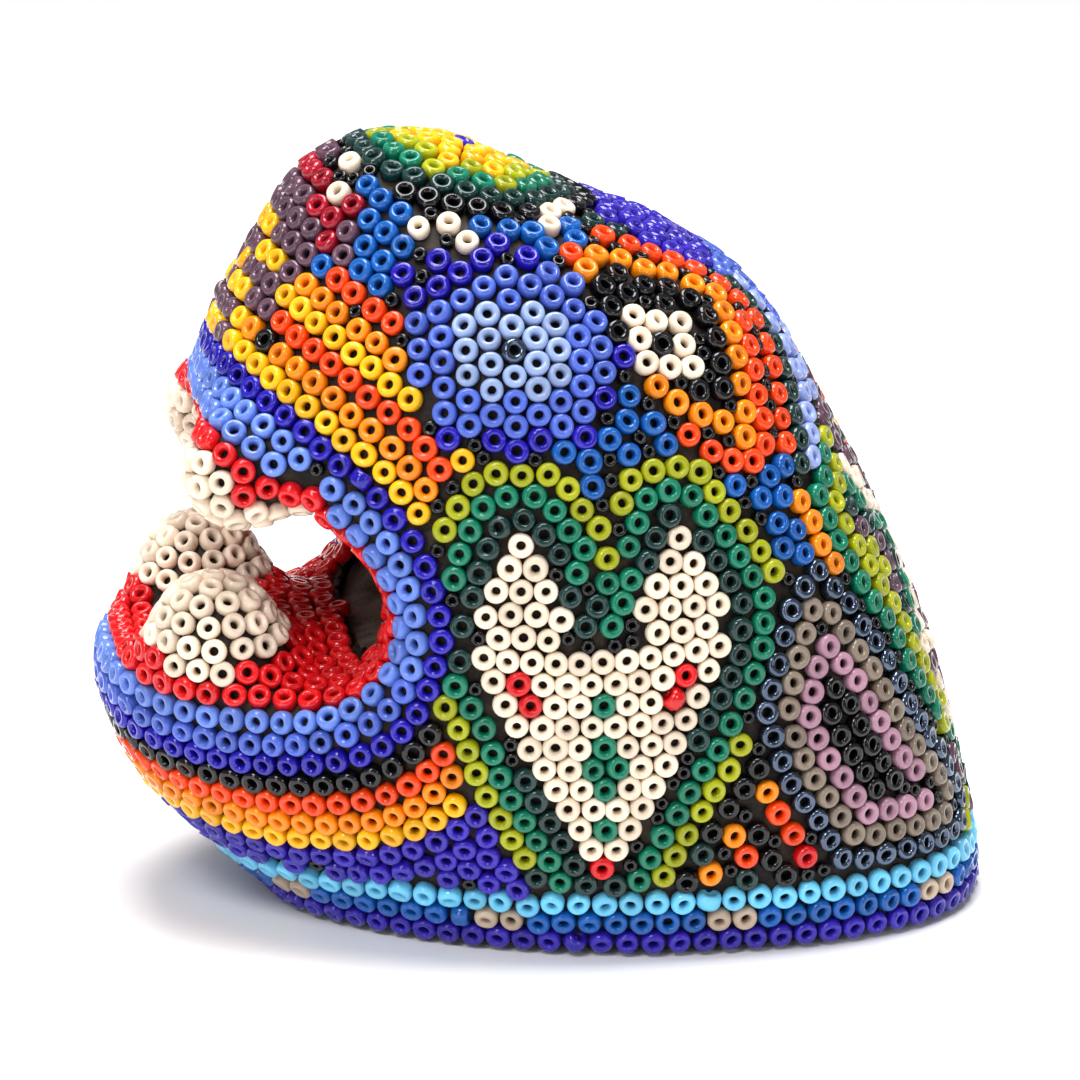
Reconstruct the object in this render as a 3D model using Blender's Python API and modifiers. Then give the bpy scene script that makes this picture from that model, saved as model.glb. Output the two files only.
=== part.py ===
"""A small roaring big-cat head: a carved core, a coat of beeswax and fields of glass seed beads.

The frame is in metres: +Z is up, the snout points towards -Y, the flat base lies on z = 0 and the
mirror plane is x = 0.  Every dimension below is in millimetres, and mm() turns it into metres.
"""

import math

import bmesh
import bpy
from mathutils import Matrix, Vector

# --- The head's outer form, over the beads --------------------------------------------------

# Level sections of the closed head, from under the base up to the crown:
# height, front end, back end, half width, share of the width kept at the snout,
# squareness of the front and squareness of the back.
HEAD_LEVELS = [
    (-8.0, -24.6, 41.0, 23.6, 0.62, 2.8, 3.0),
    (0.0, -24.9, 40.8, 24.4, 0.62, 2.8, 3.0),
    (5.0, -30.8, 40.5, 25.8, 0.62, 2.8, 3.0),
    (12.0, -37.9, 38.8, 26.9, 0.61, 2.9, 3.0),
    (19.0, -41.0, 37.0, 27.2, 0.61, 3.1, 3.0),
    (26.0, -41.6, 35.0, 27.0, 0.62, 3.2, 2.8),
    (34.0, -39.0, 31.6, 26.4, 0.62, 3.2, 2.7),
    (41.0, -35.2, 28.2, 25.6, 0.64, 3.4, 2.6),
    (47.0, -32.6, 25.0, 24.4, 0.64, 3.4, 2.5),
    (53.0, -30.5, 21.9, 22.6, 0.62, 3.0, 2.4),
    (58.0, -28.3, 17.8, 20.2, 0.60, 2.5, 2.3),
    (62.0, -26.0, 11.0, 17.0, 0.62, 2.3, 2.2),
    (65.0, -24.2, 3.2, 13.6, 0.66, 2.2, 2.1),
    (67.8, -22.4, -2.4, 9.8, 0.75, 2.0, 2.0),
    (70.0, -19.6, -7.0, 5.6, 0.85, 2.0, 2.0),
    (70.9, -16.0, -10.0, 2.2, 1.0, 2.0, 2.0),
]
SECTION_POINTS = 56

# The open mouth, seen from the side (y, z) and cut right through.
MOUTH_OUTLINE = [
    (-62.0, 38.0), (-48.0, 31.2), (-41.0, 27.6), (-35.5, 25.0), (-28.0, 24.0), (-20.5, 24.6),
    (-17.0, 26.8), (-15.8, 30.6), (-17.4, 35.0), (-22.2, 39.8), (-27.0, 42.6), (-31.0, 45.0),
    (-35.0, 47.6), (-46.0, 54.8), (-62.0, 65.2), (-70.0, 52.0),
]

# Swellings on the right side, mirrored to the left: centre, radii and turn about X in degrees.
SWELLINGS = {
    "lower_canine": ((10.4, -30.6, 26.6), (6.7, 6.9, 7.8), 0.0),
    "upper_fang": ((12.0, -28.4, 42.6), (5.4, 6.0, 6.2), 20.0),
    "tongue": ((3.0, -24.0, 21.5), (12.0, 12.0, 6.0), 0.0),
    "eye": ((11.8, -4.6, 49.8), (12.0, 12.0, 12.0), 0.0),
    "ear": ((8.2, 7.6, 46.8), (14.0, 14.0, 14.0), 0.0),
}
OUTSIDE_SWELLINGS = ("eye", "ear")      # joined before the mouth is cut
THROAT_CENTRE = (0.0, -12.5, 33.5)
THROAT_RADII = (13.0, 7.5, 6.0)

# --- Layers, measured along the surface's normals --------------------------------------------

BEAD_DEPTH = 1.2          # from the wax surface to the bead tops
BEAD_CLEARANCE = 0.3      # between the wax and the bead fields
WAX_THICKNESS = 0.6
CORE_DEPTH = 0.9          # from the wax surface to the core
CORE_FOOT = 0.0
WAX_FOOT = 0.5
BEAD_FOOT = 0.9
FIELD_GAP = 0.3

CARVING_VOXEL = 1.1
CARVING_SMOOTHING = 14
SKIN_SMOOTHING = 6
SKIN_KEEP = 0.03         # share of the carved mesh's faces that the solids keep


# --- Bead fields -------------------------------------------------------------------------------

# Distances from the mouth's outline to the outer edge of each ring of beads round it.
MOUTH_LINING_EDGE = 1.4
LIP_RINGS = [("lip_red_ring", 2.8), ("lip_sky_ring", 5.0), ("lip_royal_ring", 6.6)]
MOUTH_FLOOR_TOP = 29.5
PALATE_BOTTOM = 35.5

# Rings round the foot: name and the height of the upper edge.
BASE_RINGS = [("base_violet_ring", 2.4), ("base_azure_ring", 4.6), ("base_cyan_ring", 6.7)]

# Teeth: name, centre (x, y), radius, lower and upper limit.
TOOTH_CAPS = [
    ("lower_canine_beads", (10.4, -30.6), 7.2, 25.6, 40.0),
    ("upper_fang_beads", (12.2, -28.2), 6.2, 32.0, 45.4),
]

# Closed outlines in the side view (y, z). Each field takes what the fields before it leave, so an
# outline may run over a neighbour that is listed earlier. "pair" fields are cut on the right side
# only, from x = PAIR_START outwards, and mirrored; the others run right through.
PAIR_START = 5.5
SIDE_FIELDS = [
    ("eye_beads", "pair", [(-4.9, 45.9), (-10.6, 48.2), (-12.9, 53.8), (-10.4, 59.4), (-4.8, 61.7),
                           (0.8, 59.3), (3.0, 53.6), (0.8, 48.1)]),
    ("ear_beads", "pair", [(-1.2, 61.4), (4.4, 63.4), (12.2, 61.2), (18.8, 56.2), (22.6, 49.6),
                           (19.4, 44.6), (12.7, 43.4), (6.6, 47.8), (1.0, 55.6)]),
    ("heart_face_beads", "pair", [(-4.6, 39.8), (-1.4, 34.4), (1.9, 30.4), (5.4, 34.4), (8.7, 39.6),
                                  (13.4, 32.0), (12.0, 24.0), (5.6, 12.8), (2.0, 9.4), (-1.8, 13.2),
                                  (-8.0, 24.4), (-8.9, 32.4)]),
    ("heart_rim_beads", "pair", [(2.6, 41.0), (-3.4, 45.6), (-9.6, 43.4), (-11.2, 36.0), (-9.9, 24.8),
                                 (-6.6, 12.0), (-5.0, 4.6), (7.2, 4.6), (11.4, 14.6), (14.9, 22.6),
                                 (19.2, 32.8), (15.6, 42.4), (9.4, 45.6)]),
    ("muzzle_band_beads", "pair", [(-29.5, 48.0), (-27.4, 54.4), (-21.4, 60.8), (-12.2, 53.8),
                                   (-8.4, 45.6), (-10.2, 37.6), (-12.6, 35.0), (-17.5, 41.0)]),
    ("jaw_black_row", "through", [(-60.0, 30.0), (-40.0, 25.0), (-10.0, 26.0), (-9.6, 21.6),
                                  (-14.6, 17.2), (-20.0, 15.4), (-28.0, 15.0), (-34.0, 16.2),
                                  (-40.0, 18.6), (-60.0, 24.6)]),
    ("jaw_orange_rows", "through", [(-60.0, 25.0), (-9.0, 25.0), (-8.6, 17.6), (-13.6, 13.2),
                                    (-20.0, 11.4), (-28.0, 11.2), (-34.0, 12.6), (-60.0, 20.0)]),
    ("jaw_yellow_rows", "through", [(-60.0, 20.0), (-8.0, 20.0), (-7.2, 14.4), (-12.5, 9.8),
                                    (-17.6, 8.4), (-25.0, 8.2), (-32.0, 9.4), (-60.0, 15.0)]),
    ("throat_violet_beads", "through", [(-60.0, 18.0), (-4.0, 18.0), (-4.0, 4.0), (-60.0, 4.0)]),
    ("nose_bridge_beads", "through", [(-60.0, 62.8), (-23.4, 61.8), (-20.4, 60.2), (-17.0, 64.4),
                                      (-17.2, 69.4), (-20.6, 73.0), (-60.0, 75.0)]),
    ("nose_pad_beads", "through", [(-60.0, 40.0), (-24.0, 44.0), (-19.6, 60.0), (-23.4, 64.0),
                                   (-60.0, 66.0)]),
    ("brow_azure_beads", "pair", [(-20.2, 59.6), (-16.4, 65.0), (-15.0, 69.0), (-9.6, 67.4),
                                  (-6.6, 61.0), (-11.0, 53.0)]),
    ("neck_triangle_centre", "pair", [(21.9, 28.6), (19.8, 23.6), (21.2, 11.6), (31.4, 10.4),
                                      (28.0, 19.4)]),
    ("neck_triangle_rim", "pair", [(22.0, 34.0), (18.2, 29.4), (15.7, 24.0), (16.8, 15.8), (19.0, 4.6),
                                   (37.8, 4.6), (35.8, 10.8), (31.8, 19.4), (27.2, 27.4)]),
    ("amber_corner_row", "pair", [(19.4, 43.6), (18.0, 39.4), (22.8, 32.0), (30.6, 19.2), (34.6, 10.6),
                                  (36.6, 4.6), (39.8, 4.6), (38.4, 11.4), (35.0, 19.6), (28.4, 31.4)]),
    ("temple_azure_beads", "pair", [(-3.4, 45.0), (-0.4, 54.0), (7.2, 48.4), (12.7, 42.8), (21.0, 45.0),
                                    (20.4, 38.6), (21.0, 32.0), (16.6, 28.0), (6.0, 36.0)]),
    ("chevron_beads", "pair", [(18.6, 32.4), (12.6, 20.0), (6.0, 4.6), (20.4, 4.6), (17.4, 16.0)]),
    ("back_panel_beads", "through", [(21.6, 45.8), (60.0, 45.8), (60.0, 4.0), (31.0, 4.0), (22.0, 30.0),
                                     (16.0, 40.0)]),
    ("nape_lavender_beads", "through", [(9.4, 66.0), (60.0, 66.0), (60.0, 40.0), (14.0, 40.0)]),
]
FLOWER_CENTRE = (0.0, -7.0)
FLOWER_RADIUS = 10.6
FLOWER_SIDES = 16
TOOTH_SIDES = 12

# How far the cutters reach, well beyond the head on every side.
HALF_REACH = 45.0                   # sideways, from the mirror plane
THROUGH_REACH = (-HALF_REACH, HALF_REACH)
TOP_REACH = (50.0, 80.0)            # heights between which the flower is cut
GROUND_REACH = -30.0                # below the base
PLAN_REACH = 60.0                   # forwards and backwards
MOUTH_REACH = (-70.0, 10.0)         # from in front of the snout to behind the throat
JAW_DEPTH = 10.0                    # heights that bound the floor and the palate of the mouth
SNOUT_HEIGHT = 80.0

# --- Colours: red, green, blue, roughness, metallic --------------------------------------------

COLOURS = {
    "core": (0.16, 0.12, 0.08, 0.8, 0.0),
    "wax": (0.10, 0.06, 0.03, 0.5, 0.0),
    "red": (0.75, 0.01, 0.01, 0.2, 0.0),
    "crimson": (0.45, 0.01, 0.03, 0.2, 0.0),
    "orange": (0.95, 0.18, 0.02, 0.2, 0.0),
    "amber": (0.95, 0.40, 0.01, 0.2, 0.0),
    "yellow": (0.95, 0.63, 0.01, 0.2, 0.0),
    "lime": (0.43, 0.50, 0.01, 0.2, 0.0),
    "green": (0.01, 0.24, 0.12, 0.2, 0.0),
    "black": (0.01, 0.01, 0.012, 0.2, 0.0),
    "gunmetal": (0.02, 0.025, 0.04, 0.25, 0.8),
    "royal": (0.03, 0.02, 0.50, 0.2, 0.0),
    "sky": (0.12, 0.24, 0.78, 0.2, 0.0),
    "lavender": (0.35, 0.45, 0.90, 0.2, 0.0),
    "azure": (0.01, 0.13, 0.52, 0.2, 0.0),
    "cyan": (0.16, 0.60, 0.90, 0.2, 0.0),
    "violet": (0.08, 0.02, 0.50, 0.2, 0.0),
    "mauve": (0.22, 0.09, 0.14, 0.2, 0.0),
    "pink": (0.45, 0.24, 0.33, 0.2, 0.0),
    "cream": (0.92, 0.78, 0.64, 0.2, 0.0),
}
FIELD_COLOURS = {
    "lip_red_ring": "red", "lip_sky_ring": "sky", "lip_royal_ring": "royal",
    "base_violet_ring": "violet", "base_azure_ring": "azure", "base_cyan_ring": "cyan",
    "lower_canine_beads": "cream", "upper_fang_beads": "cream", "mouth_floor_beads": "red",
    "palate_beads": "red", "eye_beads": "sky", "ear_beads": "orange", "heart_face_beads": "cream",
    "heart_rim_beads": "green", "muzzle_band_beads": "amber", "jaw_black_row": "black",
    "jaw_orange_rows": "orange", "jaw_yellow_rows": "yellow", "throat_violet_beads": "violet",
    "nose_bridge_beads": "crimson", "nose_pad_beads": "mauve", "brow_azure_beads": "azure",
    "neck_triangle_centre": "pink", "neck_triangle_rim": "gunmetal", "amber_corner_row": "amber",
    "temple_azure_beads": "azure", "chevron_beads": "black", "back_panel_beads": "green",
    "nape_lavender_beads": "lavender", "forehead_flower_beads": "lime", "crown_beads": "violet",
}


def mm(value):
    """Millimetres to metres, for a number or a point."""
    if isinstance(value, (int, float)):
        return value * 0.001
    return tuple(v * 0.001 for v in value)


# --- Small tools ------------------------------------------------------------------------------

def clear_scene():
    for item in list(bpy.data.objects):
        bpy.data.objects.remove(item, do_unlink=True)


def new_object(name, mesh, collection):
    item = bpy.data.objects.new(name, mesh)
    collection.objects.link(item)
    return item


def mesh_from_bmesh(name, bm):
    """A mesh whose faces point outwards."""
    bmesh.ops.recalc_face_normals(bm, faces=bm.faces)
    if bm.calc_volume(signed=True) < 0:
        bmesh.ops.reverse_faces(bm, faces=bm.faces)
    mesh = bpy.data.meshes.new(name)
    bm.to_mesh(mesh)
    bm.free()
    return mesh


def evaluated_mesh(item):
    """The mesh of an object with its modifiers applied."""
    depsgraph = bpy.context.evaluated_depsgraph_get()
    depsgraph.update()
    return bpy.data.meshes.new_from_object(item.evaluated_get(depsgraph))


def bake(item):
    """Apply all modifiers of an object."""
    mesh = evaluated_mesh(item)
    item.modifiers.clear()
    old = item.data
    item.data = mesh
    bpy.data.meshes.remove(old)
    return item


# --- Carving the form -------------------------------------------------------------------------

def section_point(level, turn):
    """A point of one level section: a rounded outline that narrows towards the snout."""
    height, front, back, half_width, snout_share, front_power, back_power = level
    centre = (front + back) / 2
    half_length = (back - front) / 2
    along = -math.cos(turn)
    side = math.sin(turn)
    power = front_power if along < 0 else back_power
    t = math.copysign(abs(along) ** (2 / power), along)
    width = math.copysign(abs(side) ** (2 / power), side)
    if along < 0:
        width *= 1 - (1 - snout_share) * abs(t) ** 1.3
    return mm((half_width * width, centre + half_length * t, height))


def closed_head(collection):
    """The head before the mouth is cut: level sections bridged into a solid."""
    bm = bmesh.new()
    rings = []
    for level in HEAD_LEVELS:
        ring = []
        for i in range(SECTION_POINTS):
            ring.append(bm.verts.new(section_point(level, 2 * math.pi * i / SECTION_POINTS)))
        edges = [bm.edges.new((ring[i], ring[i - 1])) for i in range(SECTION_POINTS)]
        rings.append((ring, edges))
    for lower, upper in zip(rings, rings[1:]):
        bmesh.ops.bridge_loops(bm, edges=lower[1] + upper[1])
    for ring, _ in (rings[0], rings[-1]):
        bm.faces.new(ring)
    return new_object("head_blank", mesh_from_bmesh("head_blank", bm), collection)


def ellipsoid(name, centre, radii, turn, collection):
    bm = bmesh.new()
    bmesh.ops.create_uvsphere(bm, u_segments=32, v_segments=20, radius=1.0)
    place = Matrix.Translation(mm(centre)) @ Matrix.Rotation(math.radians(turn), 4, "X")
    bm.transform(place @ Matrix.Diagonal((*mm(radii), 1.0)))
    return new_object(name, mesh_from_bmesh(name, bm), collection)


def smooth_outline(points, steps=2):
    """Points of a closed curve that runs smoothly through the given points (Catmull-Rom)."""
    result = []
    count = len(points)
    for i in range(count):
        p0, p1, p2, p3 = (Vector(points[(i + k - 1) % count]) for k in range(4))
        for s in range(steps):
            t = s / steps
            result.append(0.5 * (2 * p1 + (p2 - p0) * t + (2 * p0 - 5 * p1 + 4 * p2 - p3) * t ** 2
                                 + (3 * p1 - p0 - 3 * p2 + p3) * t ** 3))
    return result


def outward_offset(points, distance):
    """A closed outline moved outwards by a distance along its corners' normals."""
    count = len(points)
    area = sum(points[i - 1][0] * points[i][1] - points[i][0] * points[i - 1][1] for i in range(count))
    side = 1.0 if area > 0 else -1.0
    result = []
    for i in range(count):
        before = (Vector(points[i]) - Vector(points[i - 1])).normalized()
        after = (Vector(points[(i + 1) % count]) - Vector(points[i])).normalized()
        bisector = before + after
        bisector.normalize()
        stretch = min(1 / max(bisector.dot(after), 0.2), 1.6)
        result.append(Vector(points[i]) + Vector((bisector.y, -bisector.x)) * (side * distance * stretch))
    return result


# Which world axes an outline's two coordinates follow, and the axis that the cutter runs along.
SIDE_VIEW = Matrix(((0, 0, 1, 0), (1, 0, 0, 0), (0, 1, 0, 0), (0, 0, 0, 1)))
TOP_VIEW = Matrix.Identity(4)


def prism(name, outline, view, reach, collection):
    """A cutter: a closed outline, extruded along the viewing direction from reach[0] to reach[1]."""
    bm = bmesh.new()
    corners = [bm.verts.new((*mm(tuple(p)), mm(reach[0]))) for p in outline]
    face = bm.faces.new(corners)
    result = bmesh.ops.extrude_face_region(bm, geom=[face])
    moved = [v for v in result["geom"] if isinstance(v, bmesh.types.BMVert)]
    bmesh.ops.translate(bm, verts=moved, vec=(0, 0, mm(reach[1] - reach[0])))
    bm.transform(view)
    item = new_object(name, mesh_from_bmesh(name, bm), collection)
    item.hide_render = True
    item.display_type = "WIRE"
    return item


def boolean(item, operation, cutter):
    modifier = item.modifiers.new(operation.title(), "BOOLEAN")
    modifier.operation = operation
    modifier.object = cutter
    modifier.solver = "EXACT"


def cut(item, operation, *cutters):
    for cutter in cutters:
        boolean(item, operation, cutter)
    return bake(item)


def join_meshes(items, name, collection):
    bm = bmesh.new()
    for item in items:
        bm.from_mesh(item.data)
        bpy.data.objects.remove(item, do_unlink=True)
    return new_object(name, mesh_from_bmesh(name, bm), collection)


def voxel_remesh(item, voxel):
    remesh = item.modifiers.new("Remesh", "REMESH")
    remesh.mode = "VOXEL"
    remesh.voxel_size = mm(voxel)
    remesh.adaptivity = 0.0


def right_half(item):
    """Keep the half at x > 0, open at the mirror plane."""
    bm = bmesh.new()
    bm.from_mesh(item.data)
    everything = bm.verts[:] + bm.edges[:] + bm.faces[:]
    bmesh.ops.bisect_plane(bm, geom=everything, dist=0.00001, plane_co=(0, 0, 0), plane_no=(1, 0, 0),
                           clear_inner=True)
    bm.to_mesh(item.data)
    bm.free()


def mirror_half(item):
    """Close an open right half with its mirror image."""
    bm = bmesh.new()
    bm.from_mesh(item.data)
    for vert in bm.verts:
        if vert.is_boundary:
            vert.co.x = 0.0
    bm.to_mesh(item.data)
    bm.free()
    mirror = item.modifiers.new("Mirror", "MIRROR")
    mirror.merge_threshold = 0.00001
    bake(item)


def relax(item, rounds):
    smooth = item.modifiers.new("Smooth", "SMOOTH")
    smooth.factor = 0.5
    smooth.iterations = rounds


def move_along_normals(item, distance):
    move = item.modifiers.new("Displace", "DISPLACE")
    move.direction = "NORMAL"
    move.mid_level = 0.0
    move.strength = mm(distance)


def carved_head(collection):
    """The wax surface: the head with its mouth, eyes, ears and teeth, below the beads."""
    solids = {True: [closed_head(collection)], False: []}
    for name, (centre, radii, turn) in SWELLINGS.items():
        for side in (1, -1):
            place = (centre[0] * side, centre[1], centre[2])
            outside = name in OUTSIDE_SWELLINGS
            solids[outside].append(ellipsoid(name, place, radii, turn, collection))
    head = join_meshes(solids[True], "head", collection)
    voxel_remesh(head, CARVING_VOXEL)
    bake(head)
    mouth = prism("mouth_cutter", smooth_outline(MOUTH_OUTLINE), SIDE_VIEW, THROUGH_REACH, collection)
    throat = ellipsoid("throat_cutter", THROAT_CENTRE, THROAT_RADII, 0.0, collection)
    cut(head, "DIFFERENCE", mouth, throat)
    for cutter in (mouth, throat):
        bpy.data.objects.remove(cutter, do_unlink=True)
    head = join_meshes([head] + solids[False], "head", collection)
    voxel_remesh(head, CARVING_VOXEL)
    relax(head, CARVING_SMOOTHING)
    move_along_normals(head, -BEAD_DEPTH)
    voxel_remesh(head, CARVING_VOXEL)
    relax(head, SKIN_SMOOTHING)
    bake(head)
    right_half(head)
    keep = head.modifiers.new("Decimate", "DECIMATE")
    keep.ratio = SKIN_KEEP
    bake(head)
    mirror_half(head)
    return head


# --- Layers and fields ------------------------------------------------------------------------

def make_material(name):
    red, green, blue, roughness, metallic = COLOURS[name]
    material = bpy.data.materials.new(name)
    material.use_nodes = True
    shader = material.node_tree.nodes["Principled BSDF"]
    shader.inputs["Base Color"].default_value = (red, green, blue, 1.0)
    shader.inputs["Roughness"].default_value = roughness
    shader.inputs["Metallic"].default_value = metallic
    return material


def copy_object(item, name, collection):
    return new_object(name, item.data.copy(), collection)


def offset_solid(skin, name, offset, thickness, collection):
    """A copy of the skin moved along its normals, and made a shell where it has a thickness."""
    item = copy_object(skin, name, collection)
    move_along_normals(item, offset)
    if thickness:
        shell = item.modifiers.new("Solidify", "SOLIDIFY")
        shell.thickness = mm(thickness)
        shell.offset = 1.0
    return bake(item)


def box_outline(low, high):
    return [(low[0], low[1]), (high[0], low[1]), (high[0], high[1]), (low[0], high[1])]


def circle_outline(centre, radius, sides):
    turns = [2 * math.pi * i / sides for i in range(sides)]
    return [(centre[0] + radius * math.cos(a), centre[1] + radius * math.sin(a)) for a in turns]


def mirrored_copy(item, name, collection):
    """The left-hand copy of a right-hand piece."""
    bm = bmesh.new()
    bm.from_mesh(item.data)
    bm.transform(Matrix.Diagonal((-1.0, 1.0, 1.0, 1.0)))
    return new_object(name, mesh_from_bmesh(name, bm), collection)


def keep_largest_body(item):
    """Drop the loose crumbs that a cut may leave beside its main body."""
    bm = bmesh.new()
    bm.from_mesh(item.data)
    bmesh.ops.remove_doubles(bm, verts=bm.verts, dist=0.00001)
    bodies = []
    unseen = set(bm.faces)
    while unseen:
        body = [unseen.pop()]
        for face in body:
            for edge in face.edges:
                for other in edge.link_faces:
                    if other in unseen:
                        unseen.remove(other)
                        body.append(other)
        bodies.append(body)
    bodies.sort(key=lambda faces: sum(face.calc_area() for face in faces))
    crumbs = [face for body in bodies[:-1] for face in body]
    bmesh.ops.delete(bm, geom=crumbs, context="FACES")
    bmesh.ops.triangulate(bm, faces=bm.faces)
    old = item.data
    item.data = mesh_from_bmesh(item.name, bm)
    bpy.data.meshes.remove(old)
    return item


class BeadLayer:
    """The bead layer that has not been shared out yet, and the fields cut from it."""

    def __init__(self, layer, parts, cutters):
        self.rest = layer
        self.parts = parts
        self.cutters = cutters

    def take(self, name, outline, view, reach):
        """Cut one field from the layer, leaving a clear gap round it."""
        field = copy_object(self.rest, name, self.parts)
        inner = prism(name + "_cutter", outline, view, reach, self.cutters)
        cut(field, "INTERSECT", inner)
        wide = outward_offset(outline, FIELD_GAP)
        start = reach[0] - FIELD_GAP
        outer = prism(name + "_clearance", wide, view, (start, reach[1] + FIELD_GAP), self.cutters)
        cut(self.rest, "DIFFERENCE", outer)
        return field, outer

    def take_pair(self, name, outline, view, reach):
        """Cut a field on the right side and give the left side its mirror image."""
        right, outer = self.take(name + "_right", outline, view, reach)
        keep_largest_body(right)
        left = mirrored_copy(right, name + "_left", self.parts)
        opposite = mirrored_copy(outer, name + "_clearance_left", self.cutters)
        opposite.hide_render = True
        opposite.display_type = "WIRE"
        cut(self.rest, "DIFFERENCE", opposite)
        return [right, left]


def mouth_lining(layer):
    """Floor and palate beads; the back of the mouth stays bare."""
    outline = outward_offset(smooth_outline(MOUTH_OUTLINE), MOUTH_LINING_EDGE)
    lining, _ = layer.take("mouth_floor_beads", outline, SIDE_VIEW, THROUGH_REACH)
    palate = copy_object(lining, "palate_beads", layer.parts)
    front, back = MOUTH_REACH
    below = box_outline((front, JAW_DEPTH), (back, MOUTH_FLOOR_TOP))
    above = box_outline((front, PALATE_BOTTOM), (back, SNOUT_HEIGHT))
    low = prism("floor_cutter", below, SIDE_VIEW, THROUGH_REACH, layer.cutters)
    high = prism("palate_cutter", above, SIDE_VIEW, THROUGH_REACH, layer.cutters)
    cut(lining, "INTERSECT", low)
    cut(palate, "INTERSECT", high)
    return [lining, palate]


def bead_fields(layer):
    """All fields in the order in which they claim the surface."""
    fields = []
    for name, centre, radius, low, high in TOOTH_CAPS:
        fields += layer.take_pair(name, circle_outline(centre, radius, TOOTH_SIDES), TOP_VIEW, (low, high))
    fields += mouth_lining(layer)
    for name, distance in LIP_RINGS:
        outline = outward_offset(smooth_outline(MOUTH_OUTLINE), distance)
        fields.append(layer.take(name, outline, SIDE_VIEW, THROUGH_REACH)[0])
    for name, top in BASE_RINGS:
        outline = box_outline((-PLAN_REACH, GROUND_REACH), (PLAN_REACH, top))
        fields.append(layer.take(name, outline, SIDE_VIEW, THROUGH_REACH)[0])
    flower = circle_outline(FLOWER_CENTRE, FLOWER_RADIUS, FLOWER_SIDES)
    fields.append(layer.take("forehead_flower_beads", flower, TOP_VIEW, TOP_REACH)[0])
    for name, kind, outline in SIDE_FIELDS:
        if kind == "pair":
            fields += layer.take_pair(name, outline, SIDE_VIEW, (PAIR_START, HALF_REACH))
        else:
            fields.append(layer.take(name, outline, SIDE_VIEW, THROUGH_REACH)[0])
    crown = copy_object(layer.rest, "crown_beads", layer.parts)
    fields.append(crown)
    return fields


def build():
    clear_scene()
    parts = bpy.data.collections.new("beaded_cat_head")
    cutters = bpy.data.collections.new("cutters")
    for collection in (parts, cutters):
        bpy.context.scene.collection.children.link(collection)
    skin = carved_head(cutters)

    below = box_outline((-PLAN_REACH, -PLAN_REACH), (PLAN_REACH, PLAN_REACH))
    core = offset_solid(skin, "carved_core", -CORE_DEPTH, 0.0, parts)
    cut(core, "DIFFERENCE", prism("core_foot", below, TOP_VIEW, (GROUND_REACH, CORE_FOOT), cutters))
    wax = offset_solid(skin, "wax_coat", -WAX_THICKNESS, WAX_THICKNESS, parts)
    cut(wax, "DIFFERENCE", prism("wax_foot", below, TOP_VIEW, (GROUND_REACH, WAX_FOOT), cutters))
    beads = offset_solid(skin, "bead_layer", BEAD_CLEARANCE, BEAD_DEPTH - BEAD_CLEARANCE, cutters)
    cut(beads, "DIFFERENCE", prism("bead_foot", below, TOP_VIEW, (GROUND_REACH, BEAD_FOOT), cutters))

    fields = bead_fields(BeadLayer(beads, parts, cutters))
    materials = {name: make_material(name) for name in COLOURS}
    core.data.materials.append(materials["core"])
    wax.data.materials.append(materials["wax"])
    for field in fields:
        keep_largest_body(field)
        plain_name = field.name.removesuffix("_left").removesuffix("_right")
        field.data.materials.append(materials[FIELD_COLOURS[plain_name]])
    for item in [core, wax]:
        keep_largest_body(item)
    for item in list(cutters.objects):
        bpy.data.objects.remove(item, do_unlink=True)


build()
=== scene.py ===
"""A roaring big-cat head of carved wood, coated with wax and covered with glass seed beads.

The carved core of the CAD part gives the form.  A finer surface is grown over it, at the height of
the bead centres, and every bead is set on that surface: row by row round the mouth, round the base
and inside the outline of each motif.  Lengths are in millimetres until a mesh is made.  Outlines
marked "side view" hold (y, z) points and are laid on both cheeks.
"""

import itertools
import math

import bpy
import numpy as np
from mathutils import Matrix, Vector, kdtree
from mathutils.bvhtree import BVHTree


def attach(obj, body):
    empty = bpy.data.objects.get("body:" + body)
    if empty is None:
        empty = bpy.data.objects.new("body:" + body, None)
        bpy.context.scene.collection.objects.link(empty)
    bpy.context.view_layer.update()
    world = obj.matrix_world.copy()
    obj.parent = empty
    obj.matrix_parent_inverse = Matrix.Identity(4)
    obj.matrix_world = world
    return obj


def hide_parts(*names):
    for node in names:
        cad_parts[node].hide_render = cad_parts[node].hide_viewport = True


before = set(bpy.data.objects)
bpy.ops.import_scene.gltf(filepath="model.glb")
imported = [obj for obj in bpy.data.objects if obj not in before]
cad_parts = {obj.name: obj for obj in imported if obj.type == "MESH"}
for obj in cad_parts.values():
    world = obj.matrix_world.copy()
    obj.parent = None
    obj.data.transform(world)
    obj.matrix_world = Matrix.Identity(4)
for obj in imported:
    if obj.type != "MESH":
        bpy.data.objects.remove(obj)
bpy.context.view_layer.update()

METRES = 0.001

# --- Beads ---

BEAD_WIDTH = 2.22
BEAD_HEIGHT = 1.45
HOLE_WIDTH = 0.74
RING_SIDES = 20
PROFILE_SIDES = 8
PROFILE_POWER = 0.82         # under 1, the ring's profile is squarer than an ellipse
ROW_PITCH = 2.0              # from one row to the next
BEAD_STEP = 2.3              # from one bead to the next along a row
ROW_PHASES = (0.0, 0.17, 0.33, 0.5, 0.67, 0.83)    # starts that are tried for each row
SHORTEST_ROW = 1.2
CLOSEST = 0.80               # share of the bead width that a new bead must keep clear
PLACE_CLOSEST = 0.70         # the same, for a bead that has a place of its own
FILL_STEP = 1.9              # a hole this far from every bead takes another bead
EAR_FILL_STEP = 1.8          # the same, in the ears
MOUTH_FILL_STEP = 1.66       # the same, deep inside the mouth
FILLER_STEP = 1.42           # a hole this far from every bead takes a small black filler
FILLER_SCALE = 0.62
FILLER_SHARE = 0.5           # share of the surface points that may take a filler
RELAX_ROUNDS = 14
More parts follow.
